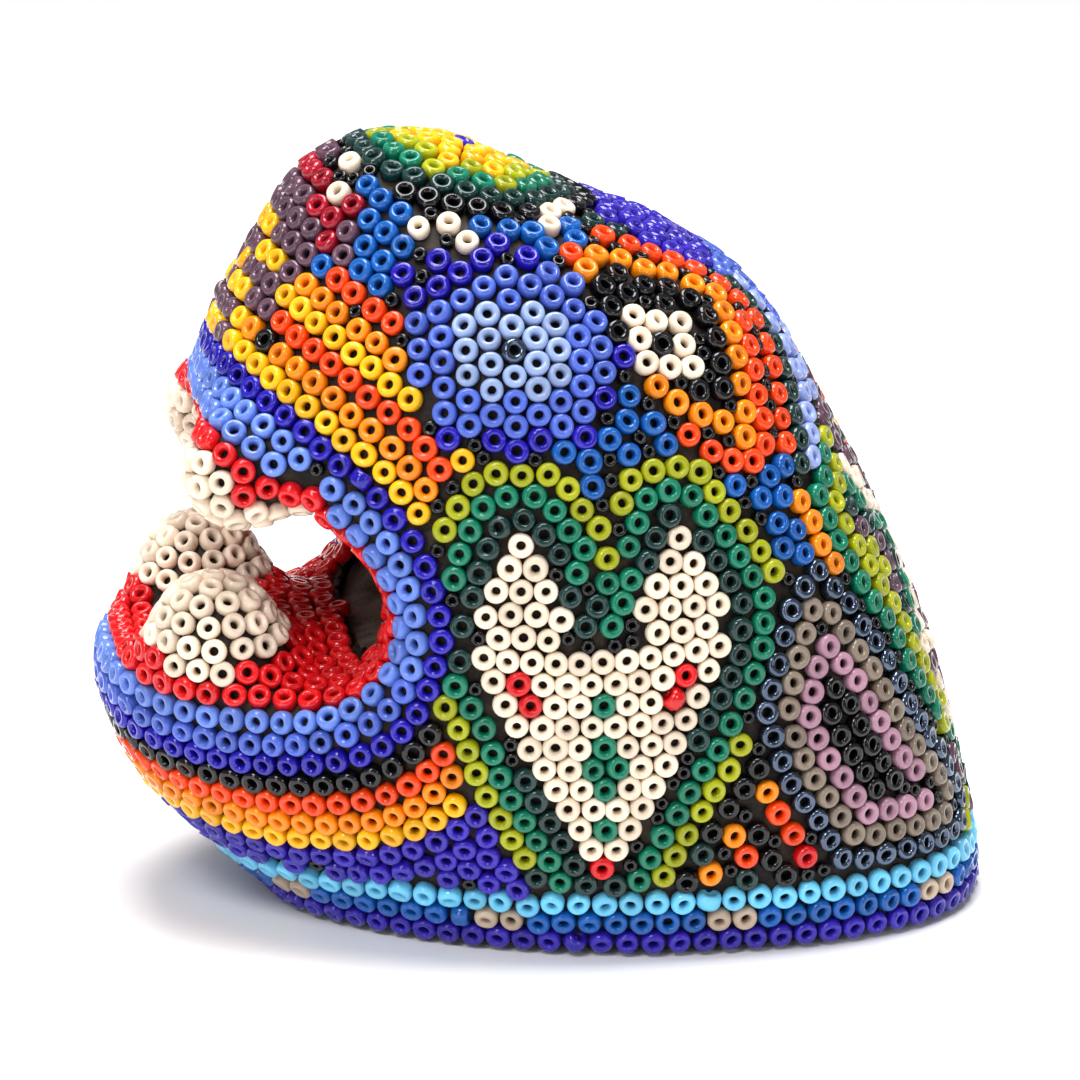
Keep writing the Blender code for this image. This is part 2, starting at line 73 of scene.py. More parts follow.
RELAX_GAP = 0.99             # share of the bead width at which two beads stop pushing
RELAX_PUSH = 0.42            # share of an overlap by which each of the two beads moves
TILT = 0.09                  # spread of the bead axes, in radians
SIZE_SPREAD = 0.02           # spread of the bead sizes, as a share
STRETCH_SPREAD = 0.025       # spread of each of a bead's three proportions
LYING_SHARE = 0.006          # share of beads that lie on their side
SEED = 20

# --- Surfaces, measured from the carved core along its normals ---

CORE_TO_BEADS = 1.4
VOXEL = 0.8
FACET_SMOOTHING = 12
SURFACE_SMOOTHING = 6
CORE_SMOOTHING = 3
OUTSIDE = 60.0               # a distance from the mirror plane that is outside the head
CURVE_SAMPLE = 0.35          # distances from a curve are measured from points this far apart
WAX_DEPTH = 0.42             # from the bead centres down to the wax
WAX_THICKNESS = 0.3
WAX_FOOT = 0.35
BEAD_FOOT = 1.05             # lowest bead centre above the ground
FILL_FOOT = 0.3              # beads that fill holes stay this much higher

# --- Motifs ---

MOST_ROWS = 14               # upper limit on the rows of one motif
# Heights at which rows change their field or their colour.
LIP_SKY_ABOVE = 27.0
PALATE_ABOVE = 33.0
BROW_GREEN_ABOVE = 68.5
CROWN_VIOLET_ABOVE = 58.5
NAPE_BLUE_ABOVE = 52.0
CROWN_FRONT, CROWN_EDGE = 3.6, 8.4    # the crown is dark green before this y and beyond this x

# The open mouth in the side view.
MOUTH = [
    (-62.0, 38.0), (-48.0, 31.2), (-41.0, 27.6), (-35.5, 25.0), (-28.4, 24.4), (-21.8, 25.2),
    (-18.8, 27.4), (-17.8, 30.8), (-19.0, 34.8), (-23.0, 39.4), (-27.4, 42.4), (-31.0, 45.0),
    (-35.0, 47.6), (-46.0, 54.8), (-62.0, 65.2), (-70.0, 52.0),
]
LIP_ROW = 2.7                # from the mouth's outline to the first sky-blue row
LINING_DEPTH = 1.7           # the mouth's lining lies less than this far outside the outline
SHORTEST_LIP = 12.0          # pieces of lip row that are shorter are stray
THROAT_WALL = (18.6, -24.0, -3.0, 22.0, 44.0)    # half width, front, back, lowest and highest point
BARE_WALL = (15.0, -18.6, -3.0, 25.5, 41.5)      # the same, of the bare wood behind the throat

BASE_ROWS = [(1.55, "base_violet_ring", "violet"), (3.6, "base_azure_ring", "azure"),
             (5.6, "base_cyan_ring", "cyan")]
BASE_TOP = 6.7
FILL_LOWEST = BASE_TOP + 0.6    # lowest bead that fills a hole in the heart
SHORTEST_BASE_ROW = 40.0
BEIGE_EVERY = 9              # two beads in so many are beige in the azure ring

UPPER_ROWS = ["yellow", "amber", "orange", "yellow", "amber", "orange"]
LOWER_ROWS = [("jaw_black_row", "black"), ("jaw_orange_rows", "orange"), ("jaw_orange_rows", "amber"),
              ("jaw_yellow_rows", "yellow"), ("throat_violet_beads", "violet")]
CHECK_ROWS = 6               # rows of the nose pad with yellow checks
CRIMSON_ROW = 8

NOSE = [(-60.0, 51.0), (-29.0, 53.0), (-27.1, 54.6), (-25.1, 55.6), (-21.8, 60.2), (-18.2, 61.4),
        (-17.0, 64.0), (-17.4, 66.5), (-18.6, 69.6), (-19.0, 75.0), (-60.0, 75.0)]
MUZZLE = [(-30.0, 48.0), (-29.0, 53.0), (-27.1, 54.6), (-25.1, 55.6), (-21.8, 60.2), (-18.0, 60.4),
          (-15.4, 58.4), (-12.9, 56.0), (-12.0, 52.4), (-11.0, 49.2), (-9.8, 47.4), (-7.0, 44.0),
          (-7.0, 36.0), (-11.0, 31.0), (-20.0, 40.0)]
BROW = [(-18.2, 61.4), (-17.0, 64.0), (-17.4, 66.5), (-17.0, 68.2), (-13.6, 67.0), (-11.0, 65.2),
        (-8.0, 64.6), (1.0, 63.9), (1.4, 62.0), (-2.0, 61.2), (-8.6, 60.6), (-11.4, 59.0), (-12.6, 57.4),
        (-14.8, 57.6), (-18.0, 60.4)]
UPPER_LIMIT, LOWER_LIMIT = 20, 9    # most rows over the upper lip and under the lower lip

# Teeth: field, tip that the rings of beads surround, and reach of the rings.
TEETH = [("lower_canine_beads", (10.4, -30.6, 34.4), 9.6), ("upper_fang_beads", (12.2, -28.6, 36.0), 8.8)]
TOOTH_RADIUS = 6.6
TOOTH_ROOT = 2.2             # a tooth ends this far outside the mouth's outline

EYE_CENTRE = (-5.3, 54.8)
EYE_COLUMN = 1.96            # from one upright column of beads to the next
EYE_STEP = 2.00              # from one bead to the next in a column
EYE_COLUMNS = 5              # columns on each side of the middle one
EYE_REACH = (8.3, 6.8)       # half width and half height of the cornflower field
EYE_COLOURS = [(0.1, "gunmetal"), (0.56, "pale"), (1.03, "cornflower")]    # up to these shares of it
EYE_ROYAL = 1.26             # share of that reach at which the royal beads end

EAR = [(3.6, 53.6), (5.4, 52.2), (7.3, 51.0), (9.3, 50.0), (11.4, 48.8), (13.4, 47.6), (15.2, 46.4),
       (15.3, 48.4), (15.0, 50.5), (14.8, 52.5), (14.5, 54.5), (14.2, 56.2), (13.4, 57.6), (11.6, 58.4),
       (9.5, 59.2), (7.2, 59.8), (5.2, 60.7), (3.2, 61.4), (1.4, 60.5), (1.4, 59.0), (1.5, 57.1),
       (2.2, 55.3)]
EAR_OPENING = (2.9, 7.0, 54.6)       # no amber bead from this y to that y below this height
EAR_CREAM = [(5.6, 57.1), (7.6, 56.4), (9.7, 55.9), (5.9, 55.3), (10.1, 54.2), (6.5, 53.5), (8.6, 53.0),
             (10.6, 52.4)]
EAR_EDGE = [(19.7, -0.4, 57.6), (18.2, -0.6, 59.8), (16.6, -0.6, 61.4), (14.4, 1.2, 62.7),
            (12.8, 3.1, 62.9), (12.8, 5.2, 62.2), (12.7, 7.4, 61.4), (12.4, 9.2, 60.8), (12.0, 11.2, 60.0),
            (11.8, 13.5, 59.0), (12.2, 15.2, 57.7), (13.4, 16.1, 56.5), (14.9, 16.7, 55.0),
            (16.3, 17.0, 53.3), (17.3, 17.2, 51.3), (18.2, 17.3, 49.1), (19.1, 17.3, 47.0),
            (20.0, 17.2, 45.0), (21.4, 15.4, 44.3), (21.8, 13.5, 45.5), (22.1, 11.7, 46.7),
            (22.5, 9.8, 48.0)]
EAR_OUTER = [(10.8, 3.4, 63.8), (10.7, 6.9, 62.4), (10.3, 10.9, 60.8), (9.9, 14.4, 59.0),
             (10.7, 17.3, 56.4), (12.9, 18.7, 53.4), (15.4, 19.3, 49.8), (17.4, 19.5, 46.4),
             (18.6, 19.0, 43.6)]
EAR_BEHIND = [(2.0, 62.0), (2.0, 72.0), (34.0, 72.0), (34.0, 44.0), (20.6, 41.5), (19.2, 44.0),
              (18.2, 52.0), (15.0, 58.0), (8.0, 61.6)]
CROWN_HALF = 9.0             # half width of the crown between the ears
EAR_SURROUND = [(-2.0, 63.0), (-6.0, 56.0), (-2.0, 44.0), (15.0, 38.0), (21.0, 40.0), (21.8, 44.5),
                (19.4, 52.0), (16.4, 58.5), (10.0, 61.5), (3.0, 63.8)]

HEART = [(2.3, 38.8), (0.9, 40.7), (-0.3, 42.5), (-1.5, 44.4), (-3.7, 44.9), (-6.0, 44.9), (-8.2, 44.6),
         (-9.9, 42.6), (-11.2, 40.4), (-12.2, 38.0), (-12.9, 34.0), (-13.1, 30.0), (-12.7, 26.2),
         (-11.4, 24.0), (-10.1, 21.7), (-9.3, 19.4), (-8.3, 17.1), (-7.1, 14.7), (-5.8, 12.3),
         (-4.5, 10.0), (-3.2, 7.2), (-1.6, 3.4), (5.6, 3.4), (7.2, 7.9), (9.1, 11.7), (11.3, 15.3),
         (13.3, 19.0), (14.6, 21.4), (15.8, 23.6), (16.8, 25.8), (17.6, 28.4), (18.0, 31.0), (17.8, 33.8),
         (16.7, 35.7), (15.3, 37.5), (14.2, 39.3), (12.9, 41.1), (11.6, 42.8), (10.3, 44.4), (8.6, 44.9),
         (6.6, 44.5), (4.5, 44.3), (3.6, 42.3), (3.1, 40.6)]
HEART_COLOURS = ["lime", "green", "dark_green"]
HEART_PITCH = 1.92           # its rows lie closer than other rows
HEART_CLOSEST = 0.68
HEART_MARGIN = 1.0           # muzzle and jaw rows stay this far outside its outline
# The face in the heart: an inverted triangle of bead rows with two ears over it.
FACE_CENTRE = 1.9            # y of the middle
FACE_TOP = 38.8              # ear tips
FACE_BAR = 28.2              # middle of the first full row
FACE_CHIN = 9.2              # the single bead at the bottom
FACE_SAG = 0.9               # the first full row sags this much in its middle
FACE_STEP = 2.06             # from one bead to the next in a full row
FACE_EARS = [-6.9, 7.0]      # from the face's middle to the ears' middles
EAR_BEADS = [1, 2, 3, 4, 3]  # beads in each row of an ear
EAR_ROW = 2.03               # from one row to the next in these ears
EAR_STEP = 2.2
FACE_WIDEST = 11             # beads in the first full row
# The rows of the heart stay clear of this outline of the face.
FACE = [(-4.6, 40.2), (-2.0, 34.6), (-0.6, 31.2), (2.0, 30.2), (4.8, 31.2), (6.2, 34.0), (8.8, 40.2),
        (11.6, 35.0), (12.9, 31.0), (13.1, 28.8), (8.2, 19.0), (4.5, 12.0), (1.9, 7.2), (-0.7, 12.0),
        (-4.9, 20.0), (-9.2, 28.6), (-9.2, 31.4)]
# Its coloured beads: row under the top of the face and place in that row, from the snout side.
FACE_RED = [(6, 1), (6, 8), (7, 1), (7, 7), (15, 0)]
FACE_GREEN = [(7, 4), (9, 3), (10, 2), (10, 3), (11, 2), (13, 1)]

TRIANGLE = [(21.6, 34.2), (19.4, 32.2), (18.5, 30.2), (17.7, 28.1), (17.1, 26.2), (16.6, 24.1), (16.5, 21.8),
            (17.2, 19.3), (18.1, 17.1), (19.5, 14.9), (21.0, 12.8), (22.4, 10.4), (23.9, 8.3), (26.8, 8.2),
            (29.4, 8.2), (31.9, 8.2), (34.5, 8.1), (36.8, 8.8), (35.7, 11.9), (34.6, 14.4), (33.1, 16.9),
            (31.4, 19.2), (30.1, 21.5), (28.9, 23.5), (28.0, 25.7), (26.5, 27.7), (25.0, 29.8),
            (23.7, 31.7)]
TRIANGLE_COLOURS = ["gunmetal", "taupe", "pink", "black", "black"]

CHEVRON_BEADS = [
    ((16.5, 15.6), "amber"), ((17.6, 13.5), "orange"), ((19.0, 11.3), "orange"), ((20.3, 9.1), "red"),
    ((13.6, 11.6), "amber"), ((14.8, 9.5), "orange"), ((11.7, 8.4), "amber"),
]

# Corner between the cheek and the back of the neck: the amber row and its way up to the crown.
CORNER = [(13.4, 38.4, 7.8), (14.9, 36.9, 11.6), (15.8, 35.4, 15.0), (16.9, 33.5, 18.7), (18.2, 31.0, 22.9),
          (18.7, 28.9, 26.8), (19.2, 27.4, 28.9), (19.5, 26.1, 31.0), (19.8, 24.6, 33.1), (20.0, 23.4, 35.0),
          (20.0, 22.3, 36.9), (20.0, 21.5, 39.0), (19.6, 20.8, 41.0), (16.6, 22.8, 43.8), (13.2, 23.2, 46.8),
          (10.6, 22.6, 49.6), (8.6, 21.2, 52.4), (6.6, 19.6, 55.2), (5.0, 16.6, 58.2)]
CORNER_TOP = 42.0            # above this height the corner row is lavender
BACK_TOP = 60.5              # height at which the rows of the back end
DIAMOND_CENTRES = (44.0, 22.0)    # heights of the middles of the stepped diamonds
DIAMOND_COLOURS = ["yellow", "yellow", "orange", "dark_green", "mauve", "mauve", "cream", "cream",
                   "green", "dark_green", "mauve", "lime"]
MIDDLE_OFFSET = 0.001        # the middle row lies just off the mirror plane
CROWN_ROWS = 5               # rows on each side of the middle, with the middle one

FLOWER_CENTRE = (0.0, -7.0)
FLOWER_COLOURS = ["violet", "yellow", "yellow", "lime", "green", "dark_green", "black"]
PETALS = 6
PETAL_RINGS = (2, 3)         # rings that take the colour of the ring within on the petals
PETAL_EDGE = 0.55            # cosine at which a petal ends

# Single beads that take another colour: points in the side view, on both cheeks.
ACCENT_REACH = 2.2           # the bead is less than this far from the point
ACCENT_CHOICES = 4           # and one of so many that are the nearest
SIDE_ACCENTS = [
    ("green", [(4.7, 38.4), (4.2, 36.1), (-0.1, 38.7), (0.6, 36.6), (2.0, 34.5), (3.4, 34.6),
               (2.4, 32.3)]),
    ("lime", [(2.2, 38.8), (2.6, 36.8)]),
    ("cream", [(-11.9, 64.2), (-9.8, 64.2), (-8.4, 62.9), (0.4, 64.1), (2.5, 63.8), (-0.7, 63.0)]),
    ("cream", [(-19.3, 68.6), (-17.7, 68.4), (-17.6, 67.0)]),
    ("black", [(-25.1, 55.0)]),
    ("royal", [(-14.0, 59.8), (-12.1, 59.9), (-9.3, 61.7), (-11.0, 61.5), (-13.9, 58.1)]),
    ("crimson", [(-20.7, 64.5), (-19.6, 63.7), (-20.1, 62.1)]),
]

# --- Colours ---

# Linear red, green and blue.
COLOURS = {
    "red": (0.600, 0.006, 0.009),
    "crimson": (0.300, 0.005, 0.018),
    "orange": (0.740, 0.048, 0.003),
    "amber": (0.760, 0.205, 0.002),
    "yellow": (0.800, 0.400, 0.003),
    "lime": (0.310, 0.330, 0.004),
    "green": (0.002, 0.145, 0.080),
    "dark_green": (0.006, 0.028, 0.026),
    "black": (0.003, 0.003, 0.004),
    "gunmetal": (0.080, 0.105, 0.155),
    "royal": (0.012, 0.006, 0.300),
    "cornflower": (0.060, 0.108, 0.470),
    "sky": (0.105, 0.190, 0.580),
    "pale": (0.230, 0.310, 0.530),
    "lavender": (0.260, 0.330, 0.660),
    "azure": (0.004, 0.082, 0.340),
    "cyan": (0.130, 0.500, 0.740),
    "violet": (0.026, 0.012, 0.330),
    "mauve": (0.095, 0.045, 0.070),
    "taupe": (0.195, 0.150, 0.115),
    "beige": (0.460, 0.350, 0.260),
    "pink": (0.360, 0.190, 0.260),
    "cream": (0.780, 0.650, 0.510),
}
MILKY = {"cornflower", "sky", "pale", "lavender", "cyan", "taupe", "beige", "pink", "cream"}
GLASS_ROUGHNESS = 0.06
MILKY_ROUGHNESS = 0.09
METAL_ROUGHNESS = 0.13
METAL_SHARE = 0.9            # metallic value of the gunmetal beads
SHARED_SLOTS = {"cornflower": "sky", "pale": "lavender"}    # the name looked up for these colours; any other colour looks up its own name
PAIRED_FIELDS = {name.removesuffix("_right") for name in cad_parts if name.endswith("_right")}

GLASS_IOR = 1.52
GLASS_SPECULAR = 0.42
DARKEST, LIGHTEST = 0.80, 1.12    # tones of the beads of one colour
STREAK_SCALE = 900.0
STREAK_SHARE = 0.35          # weight of the streaks beside the bead's own tone
TONE_RANGE = (0.1, 1.25 / 1.35)    # sums of the two that give the darkest and the lightest tone
STREAK_RELIEF = (0.06, 0.0001)     # strength and distance of the bump
MOTTLE_DEPTH = 0.0006
MOTTLE_RANGE = (0.36, 0.5, 0.66)
# Dark, middle and light tone, scale of the mottling, roughness and strength of the relief.
WAX = ((0.006, 0.004, 0.003), (0.014, 0.009, 0.006), (0.040, 0.026, 0.016), 420.0, 0.55, 0.5)
WOOD = ((0.020, 0.016, 0.013), (0.075, 0.058, 0.044), (0.20, 0.17, 0.14), 160.0, 0.75, 0.8)

# --- Camera and light ---

CAMERA_AZIMUTH = 82.0
CAMERA_ELEVATION = 16.0
CAMERA_DISTANCE = 400.0
CAMERA_TARGET = (0.0, 0.0, 32.0)
CAMERA_LENS = 145.3
SENSOR_WIDTH = 36.0
FLOOR_SIZE = 3000.0
WORLD_STRENGTH = 0.30
LIGHT_TARGET = (0.0, 0.0, 30.0)
# Name, place, width and height, and power.
LIGHTS = [
    ("key", (420.0, -300.0, 620.0), (240.0, 240.0), 2.9),
    ("strip", (560.0, -420.0, 180.0), (50.0, 420.0), 0.9),
    ("fill", (620.0, 420.0, 300.0), (140.0, 140.0), 0.8),
    ("top", (-60.0, 0.0, 700.0), (420.0, 420.0), 8.0),
]
CELL_MARGIN = 0.04           # share of a ring's cell in the map that stays empty at each edge

rng = np.random.default_rng(SEED)


# --- Curves and outlines ---

def catmull_rom(p0, p1, p2, p3, t):
    """Where a smooth curve is between p1 and p2, a share t of the way."""
    return 0.5 * (2 * p1 + (p2 - p0) * t + (2 * p0 - 5 * p1 + 4 * p2 - p3) * t ** 2
                  + (3 * p1 - p0 - 3 * p2 + p3) * t ** 3)


def smooth_closed(points, steps=8):
    """Points of a closed curve that runs smoothly through the given points."""
    points = np.array(points, float)
    before, after, last = np.roll(points, 1, 0), np.roll(points, -1, 0), np.roll(points, -2, 0)
    corners = [p[:, None, :] for p in (before, points, after, last)]
    curve = catmull_rom(*corners, (np.arange(steps) / steps)[None, :, None])
    return curve.reshape(-1, points.shape[1])


def smooth_open(points, steps=8):
    """Points of an open curve that runs smoothly through the given points."""
    points = np.array(points, float)
    padded = np.vstack([2 * points[0] - points[1], points, 2 * points[-1] - points[-2]])
    result = []
    for i in range(len(points) - 1):
        result += [catmull_rom(*padded[i:i + 4], step / steps) for step in range(steps)]
    result.append(points[-1])
    return np.array(result)


def inside(outline, points):
    """Which of the 2-D points lie inside the closed outline."""
    x, y = points[:, 0], points[:, 1]
    result = np.zeros(len(points), bool)
    for (x0, y0), (x1, y1) in zip(outline, np.roll(outline, -1, 0)):
        if y0 == y1:
            continue
        crosses = (y0 > y) != (y1 > y)
        result ^= crosses & (x < x0 + (x1 - x0) * (y - y0) / (y1 - y0))
    return result


def outline_distance(outline, points):
    """Distance of 2-D points from a closed outline."""
    best = np.full(len(points), np.inf)
    for a, b in zip(outline, np.roll(outline, -1, 0)):
        edge = b - a
        t = np.clip(((points - a) @ edge) / max(edge @ edge, 1e-12), 0, 1)
        best = np.minimum(best, np.linalg.norm(points - (a + t[:, None] * edge), axis=1))
    return best


def grown_outline(outline, distance):
    """A smooth closed outline moved outwards."""
    outline = np.array(outline, float)
    tangent = np.roll(outline, -1, 0) - np.roll(outline, 1, 0)
    normal = np.stack([tangent[:, 1], -tangent[:, 0]], 1)
    normal /= np.linalg.norm(normal, axis=1)[:, None]
    x, y = outline[:, 0], outline[:, 1]
    area = np.sum(x * np.roll(y, -1) - np.roll(x, -1) * y)
    return outline + normal * (distance if area > 0 else -distance)


def measured(curve, closed):
    """The curve's points, the first one again if it is closed, and how far along it each one is."""
    points = np.vstack([curve, curve[:1]]) if closed else curve
    steps = np.linalg.norm(np.diff(points, axis=0), axis=1)
    return points, np.concatenate([[0.0], np.cumsum(steps)])


def resample(curve, closed, spacing, phase=0.5):
    """Evenly spaced points along a curve."""
    points, along = measured(curve, closed)
    length = along[-1]
    count = max(1, int(round(length / spacing)))
    if closed:
        at = (np.arange(count) + phase) * length / count
        at = at % max(length, 1e-9)
    else:
        slack = length - count * spacing
        at = (np.arange(count) + 0.5) * spacing + slack / 2 + (phase - 0.5) * max(slack, 0.0)
        at = at[(at >= 0) & (at <= length)]
    return np.stack([np.interp(at, along, points[:, axis]) for axis in range(3)], 1)


def longer(curves, least):
    """The curves that are longer than the least length."""
    return [item for item in curves if measured(*item)[1][-1] > least]


# --- The surface that carries the beads ---

def evaluated_copy(name, mesh, *steps):
    """A mesh after a list of modifiers: (type, {setting: value})."""
    item = bpy.data.objects.new(name, mesh)
    bpy.context.scene.collection.objects.link(item)
    for number, (kind, settings) in enumerate(steps):
        modifier = item.modifiers.new(f"step_{number}", kind)
        for setting, value in settings.items():
            setattr(modifier, setting, value)
    depsgraph = bpy.context.evaluated_depsgraph_get()
    depsgraph.update()
    result = bpy.data.meshes.new_from_object(item.evaluated_get(depsgraph))
    bpy.data.objects.remove(item, do_unlink=True)
    return result


def remesh_step(voxel):
    return ("REMESH", {"mode": "VOXEL", "voxel_size": voxel * METRES, "adaptivity": 0.0})


def smooth_step(rounds):
    return ("SMOOTH", {"factor": 0.5, "iterations": rounds})


def push_step(distance):
    return ("DISPLACE", {"direction": "NORMAL", "mid_level": 0.0, "strength": distance * METRES})


def fine_mesh(offset):
    """The carved core, finer and smoother, moved outwards by an offset."""
    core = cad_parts["carved_core"].data.copy()
    return evaluated_copy("fine", core, remesh_step(VOXEL), smooth_step(FACET_SMOOTHING), push_step(offset),
                          remesh_step(VOXEL), smooth_step(SURFACE_SMOOTHING))


def vertex_values(mesh, name):
    """A 3-D value of every vertex, one row each."""
    values = np.zeros(len(mesh.vertices) * 3)
    mesh.vertices.foreach_get(name, values)
    return values.reshape(-1, 3)


def near_tree(points):
    """A tree that finds the points near a place."""
    tree = kdtree.KDTree(len(points))
    for i, point in enumerate(points):
        tree.insert(point, i)
    tree.balance()
    return tree


class Surface:
    """A triangle mesh with the tools to lay rows of beads on it."""

    def __init__(self, mesh):
        mesh.calc_loop_triangles()
        self.points = vertex_values(mesh, "co") / METRES
        self.normals = vertex_values(mesh, "normal")
        self.faces = np.zeros(len(mesh.loop_triangles) * 3, np.int64)
        mesh.loop_triangles.foreach_get("vertices", self.faces)
        self.faces = self.faces.reshape(-1, 3)
        self.tree = BVHTree.FromPolygons(self.points.tolist(), self.faces.tolist())

    def settle(self, points):
        """The nearest surface points, and the smooth normals there."""
        spots, normals = [], []
        for point in points:
            spot, _, face, _ = self.tree.find_nearest(Vector(point))
            normal = self.normals[self.faces[face]].sum(0)
            spots.append(tuple(spot))
            normals.append(normal / np.linalg.norm(normal))
        return np.array(spots).reshape(-1, 3), np.array(normals).reshape(-1, 3)

    def cast_side(self, outline, side):
        """Lay a side-view outline on one cheek."""
        result = []
        for y, z in outline:
            spot = self.tree.ray_cast(Vector((side * OUTSIDE, y, z)), Vector((-side, 0.0, 0.0)))[0]
            if spot is not None and spot.x * side > 0:
                result.append(tuple(spot))
        return np.array(result)

    def distance(self, curves, allowed):
        """Distance of the allowed vertices from a list of curves."""
        samples = [resample(curve, closed, CURVE_SAMPLE) for curve, closed in curves if len(curve)]
        values = np.full(len(self.points), np.inf)
        if samples:
            tree = near_tree(np.vstack(samples))
            for i in np.flatnonzero(allowed):
                values[i] = tree.find(self.points[i])[2]
        return values

    def level_curves(self, values, level, allowed):
        """The curves on the allowed faces where the values pass a level."""
        keep = allowed[self.faces].all(1) & np.isfinite(values[self.faces]).all(1)
        faces = self.faces[keep]
        high = values[faces] >= level
        faces = faces[high.any(1) & ~high.all(1)]
        links, spots = {}, {}
        for face in faces.tolist():
            ends = []
            for a, b in zip(face, face[1:] + face[:1]):
                if (values[a] >= level) == (values[b] >= level):
                    continue
                key = (min(a, b), max(a, b))
                ends.append(key)
                if key not in spots:
                    share = (level - values[key[0]]) / (values[key[1]] - values[key[0]])
                    spots[key] = self.points[key[0]] * (1 - share) + self.points[key[1]] * share
            links.setdefault(ends[0], []).append(ends[1])
            links.setdefault(ends[1], []).append(ends[0])
        return [(smoothed(np.array([spots[k] for k in chain]), closed), closed)
                for chain, closed in chains(links)]


def chains(links):
    """Join linked points into chains, the open ones first."""
    unseen = set(links)
    starts = [key for key in links if len(links[key]) == 1] + list(links)
    for start in starts:
        if start not in unseen:
            continue
        chain = []
        following = [start]
        while following:
            chain.append(following[0])
            unseen.discard(following[0])
            following = [key for key in links[chain[-1]] if key in unseen]
        yield chain, len(chain) > 3 and chain[0] in links[chain[-1]]


def smoothed(curve, closed, rounds=6):
    """The curve with its small steps evened out."""
    for _ in range(rounds if len(curve) > 3 else 0):
        if closed:
            curve = (np.roll(curve, 1, 0) + 2 * curve + np.roll(curve, -1, 0)) / 4
        else:
            middle = (curve[:-2] + 2 * curve[1:-1] + curve[2:]) / 4
            curve = np.vstack([curve[:1], middle, curve[-1:]])
    return curve


# --- Setting beads ---

class Beadwork:
    """All beads set so far."""

    def __init__(self, surface):
        self.surface = surface
        self.spots, self.normals = [], []
        self.fields, self.colours, self.scales = [], [], []
        self.grid = {}

    def cell(self, spot):
        return tuple(int(v // BEAD_WIDTH) for v in spot)

    def nearest(self, spot):
        """Distance from a spot to the nearest bead, or two bead widths if none is near."""
        best = 2 * BEAD_WIDTH
        for key in itertools.product(*((v - 1, v, v + 1) for v in self.cell(spot))):
            for i in self.grid.get(key, ()):
                best = min(best, math.dist(spot, self.spots[i]))
        return best

    def add(self, spot, normal, field, colour, scale=1.0, closest=CLOSEST):
        """Set a bead, unless it would be too low or too close to another."""
        if spot[2] < BEAD_FOOT or self.nearest(spot) < closest * BEAD_WIDTH:
            return
        if field in PAIRED_FIELDS:
            field += "_right" if spot[0] > 0 else "_left"
        self.grid.setdefault(self.cell(spot), []).append(len(self.spots))
        self.spots.append(tuple(spot))
        self.normals.append(tuple(normal))
        self.fields.append(field)
        self.colours.append(colour)
        self.scales.append(scale)

    def row(self, curve, closed, style, closest=CLOSEST):
        """Set a row of beads.  style(spot, number) gives its field and colour."""
        best_score, best = -1.0, None
        for phase in ROW_PHASES:
            spots = resample(curve, closed, BEAD_STEP, phase)
            if not len(spots):
                continue
            score = float(np.mean([min(self.nearest(spot), BEAD_WIDTH) for spot in spots]))
            if score > best_score + 1e-6:
                best_score, best = score, spots
        if best is None:
            return
        for number, (spot, normal) in enumerate(zip(*self.surface.settle(best))):
            self.add(spot, normal, *style(spot, number), closest=closest)

    def rows(self, curves, style, closest=CLOSEST):
        for curve, closed in curves:
            self.row(curve, closed, style, closest)

    def fill(self, allowed, style, least=FILL_STEP, scale=1.0):
        """Set beads into the holes until none is left."""
        candidates = np.flatnonzero(allowed & (self.surface.points[:, 2] > BEAD_FOOT + FILL_FOOT))
        if not len(candidates):
            return
        points = self.surface.points[candidates]
        tree = near_tree(self.spots)
        room = np.array([tree.find(point)[2] for point in points])
        while room.max() >= least:
            # The tightest hole that still takes a bead packs closer than the widest one.
            fitting = np.flatnonzero(room >= least)
            chosen = fitting[int(np.argmin(room[fitting]))]
            spot = points[chosen]
            normal = self.surface.normals[candidates[chosen]]
            self.add(spot, normal, *style(spot, 0), scale=scale, closest=0.0)
            room = np.minimum(room, np.linalg.norm(points - spot, axis=1))
            room[chosen] = 0.0

    def recolour(self, spot, colour):
        """The full-size bead nearest to a spot takes another colour."""
        distances = np.linalg.norm(np.array(self.spots) - np.array(spot), axis=1)
        for i in np.argsort(distances)[:ACCENT_CHOICES]:
            if distances[i] < ACCENT_REACH and self.scales[i] == 1.0:
                self.colours[i] = colour
                return

    def relax(self):
        """Push overlapping beads apart over the surface."""
        spots, scales = np.array(self.spots), np.array(self.scales)
        for _ in range(RELAX_ROUNDS):
            tree = near_tree(spots)
            push = np.zeros_like(spots)
            for i, spot in enumerate(spots):
                for other, j, distance in tree.find_range(spot, BEAD_WIDTH):
                    wanted = BEAD_WIDTH * 0.5 * (scales[i] + scales[j]) * RELAX_GAP
                    if j != i and 1e-6 < distance < wanted:
                        push[i] += (spot - np.array(other)) / distance * (wanted - distance) * RELAX_PUSH
            spots, normals = self.surface.settle(spots + push)
            spots[:, 2] = np.maximum(spots[:, 2], BEAD_FOOT)
        self.spots = [tuple(spot) for spot in spots]
        self.normals = [tuple(normal) for normal in normals]


def grow(surface, curves, allowed, rows, pitch=ROW_PITCH):
    """Rows of curves, each one pitch further from the first curves."""
    reach = surface.distance(curves, allowed)
    for number in range(rows):
        found = longer(surface.level_curves(reach, pitch, allowed), SHORTEST_ROW)
        if not found:
            return
        yield number, found
        reach = np.minimum(reach, surface.distance(found, allowed))


def plain(field, colour):
    """A style that gives every bead the same field and colour."""
    return lambda spot, number: (field, colour)


# --- The motifs ---

def in_block(points, block):
    """Which points lie in a block: its half width, front, back, lowest and highest point."""
    half, front, back, low, high = block
    x, y, z = points.T
    return (np.abs(x) < half) & (y > front) & (y < back) & (z > low) & (z < high)


def in_side_view(outline, spot):
    return inside(np.array(outline, float), np.array([spot[1:]]))[0]


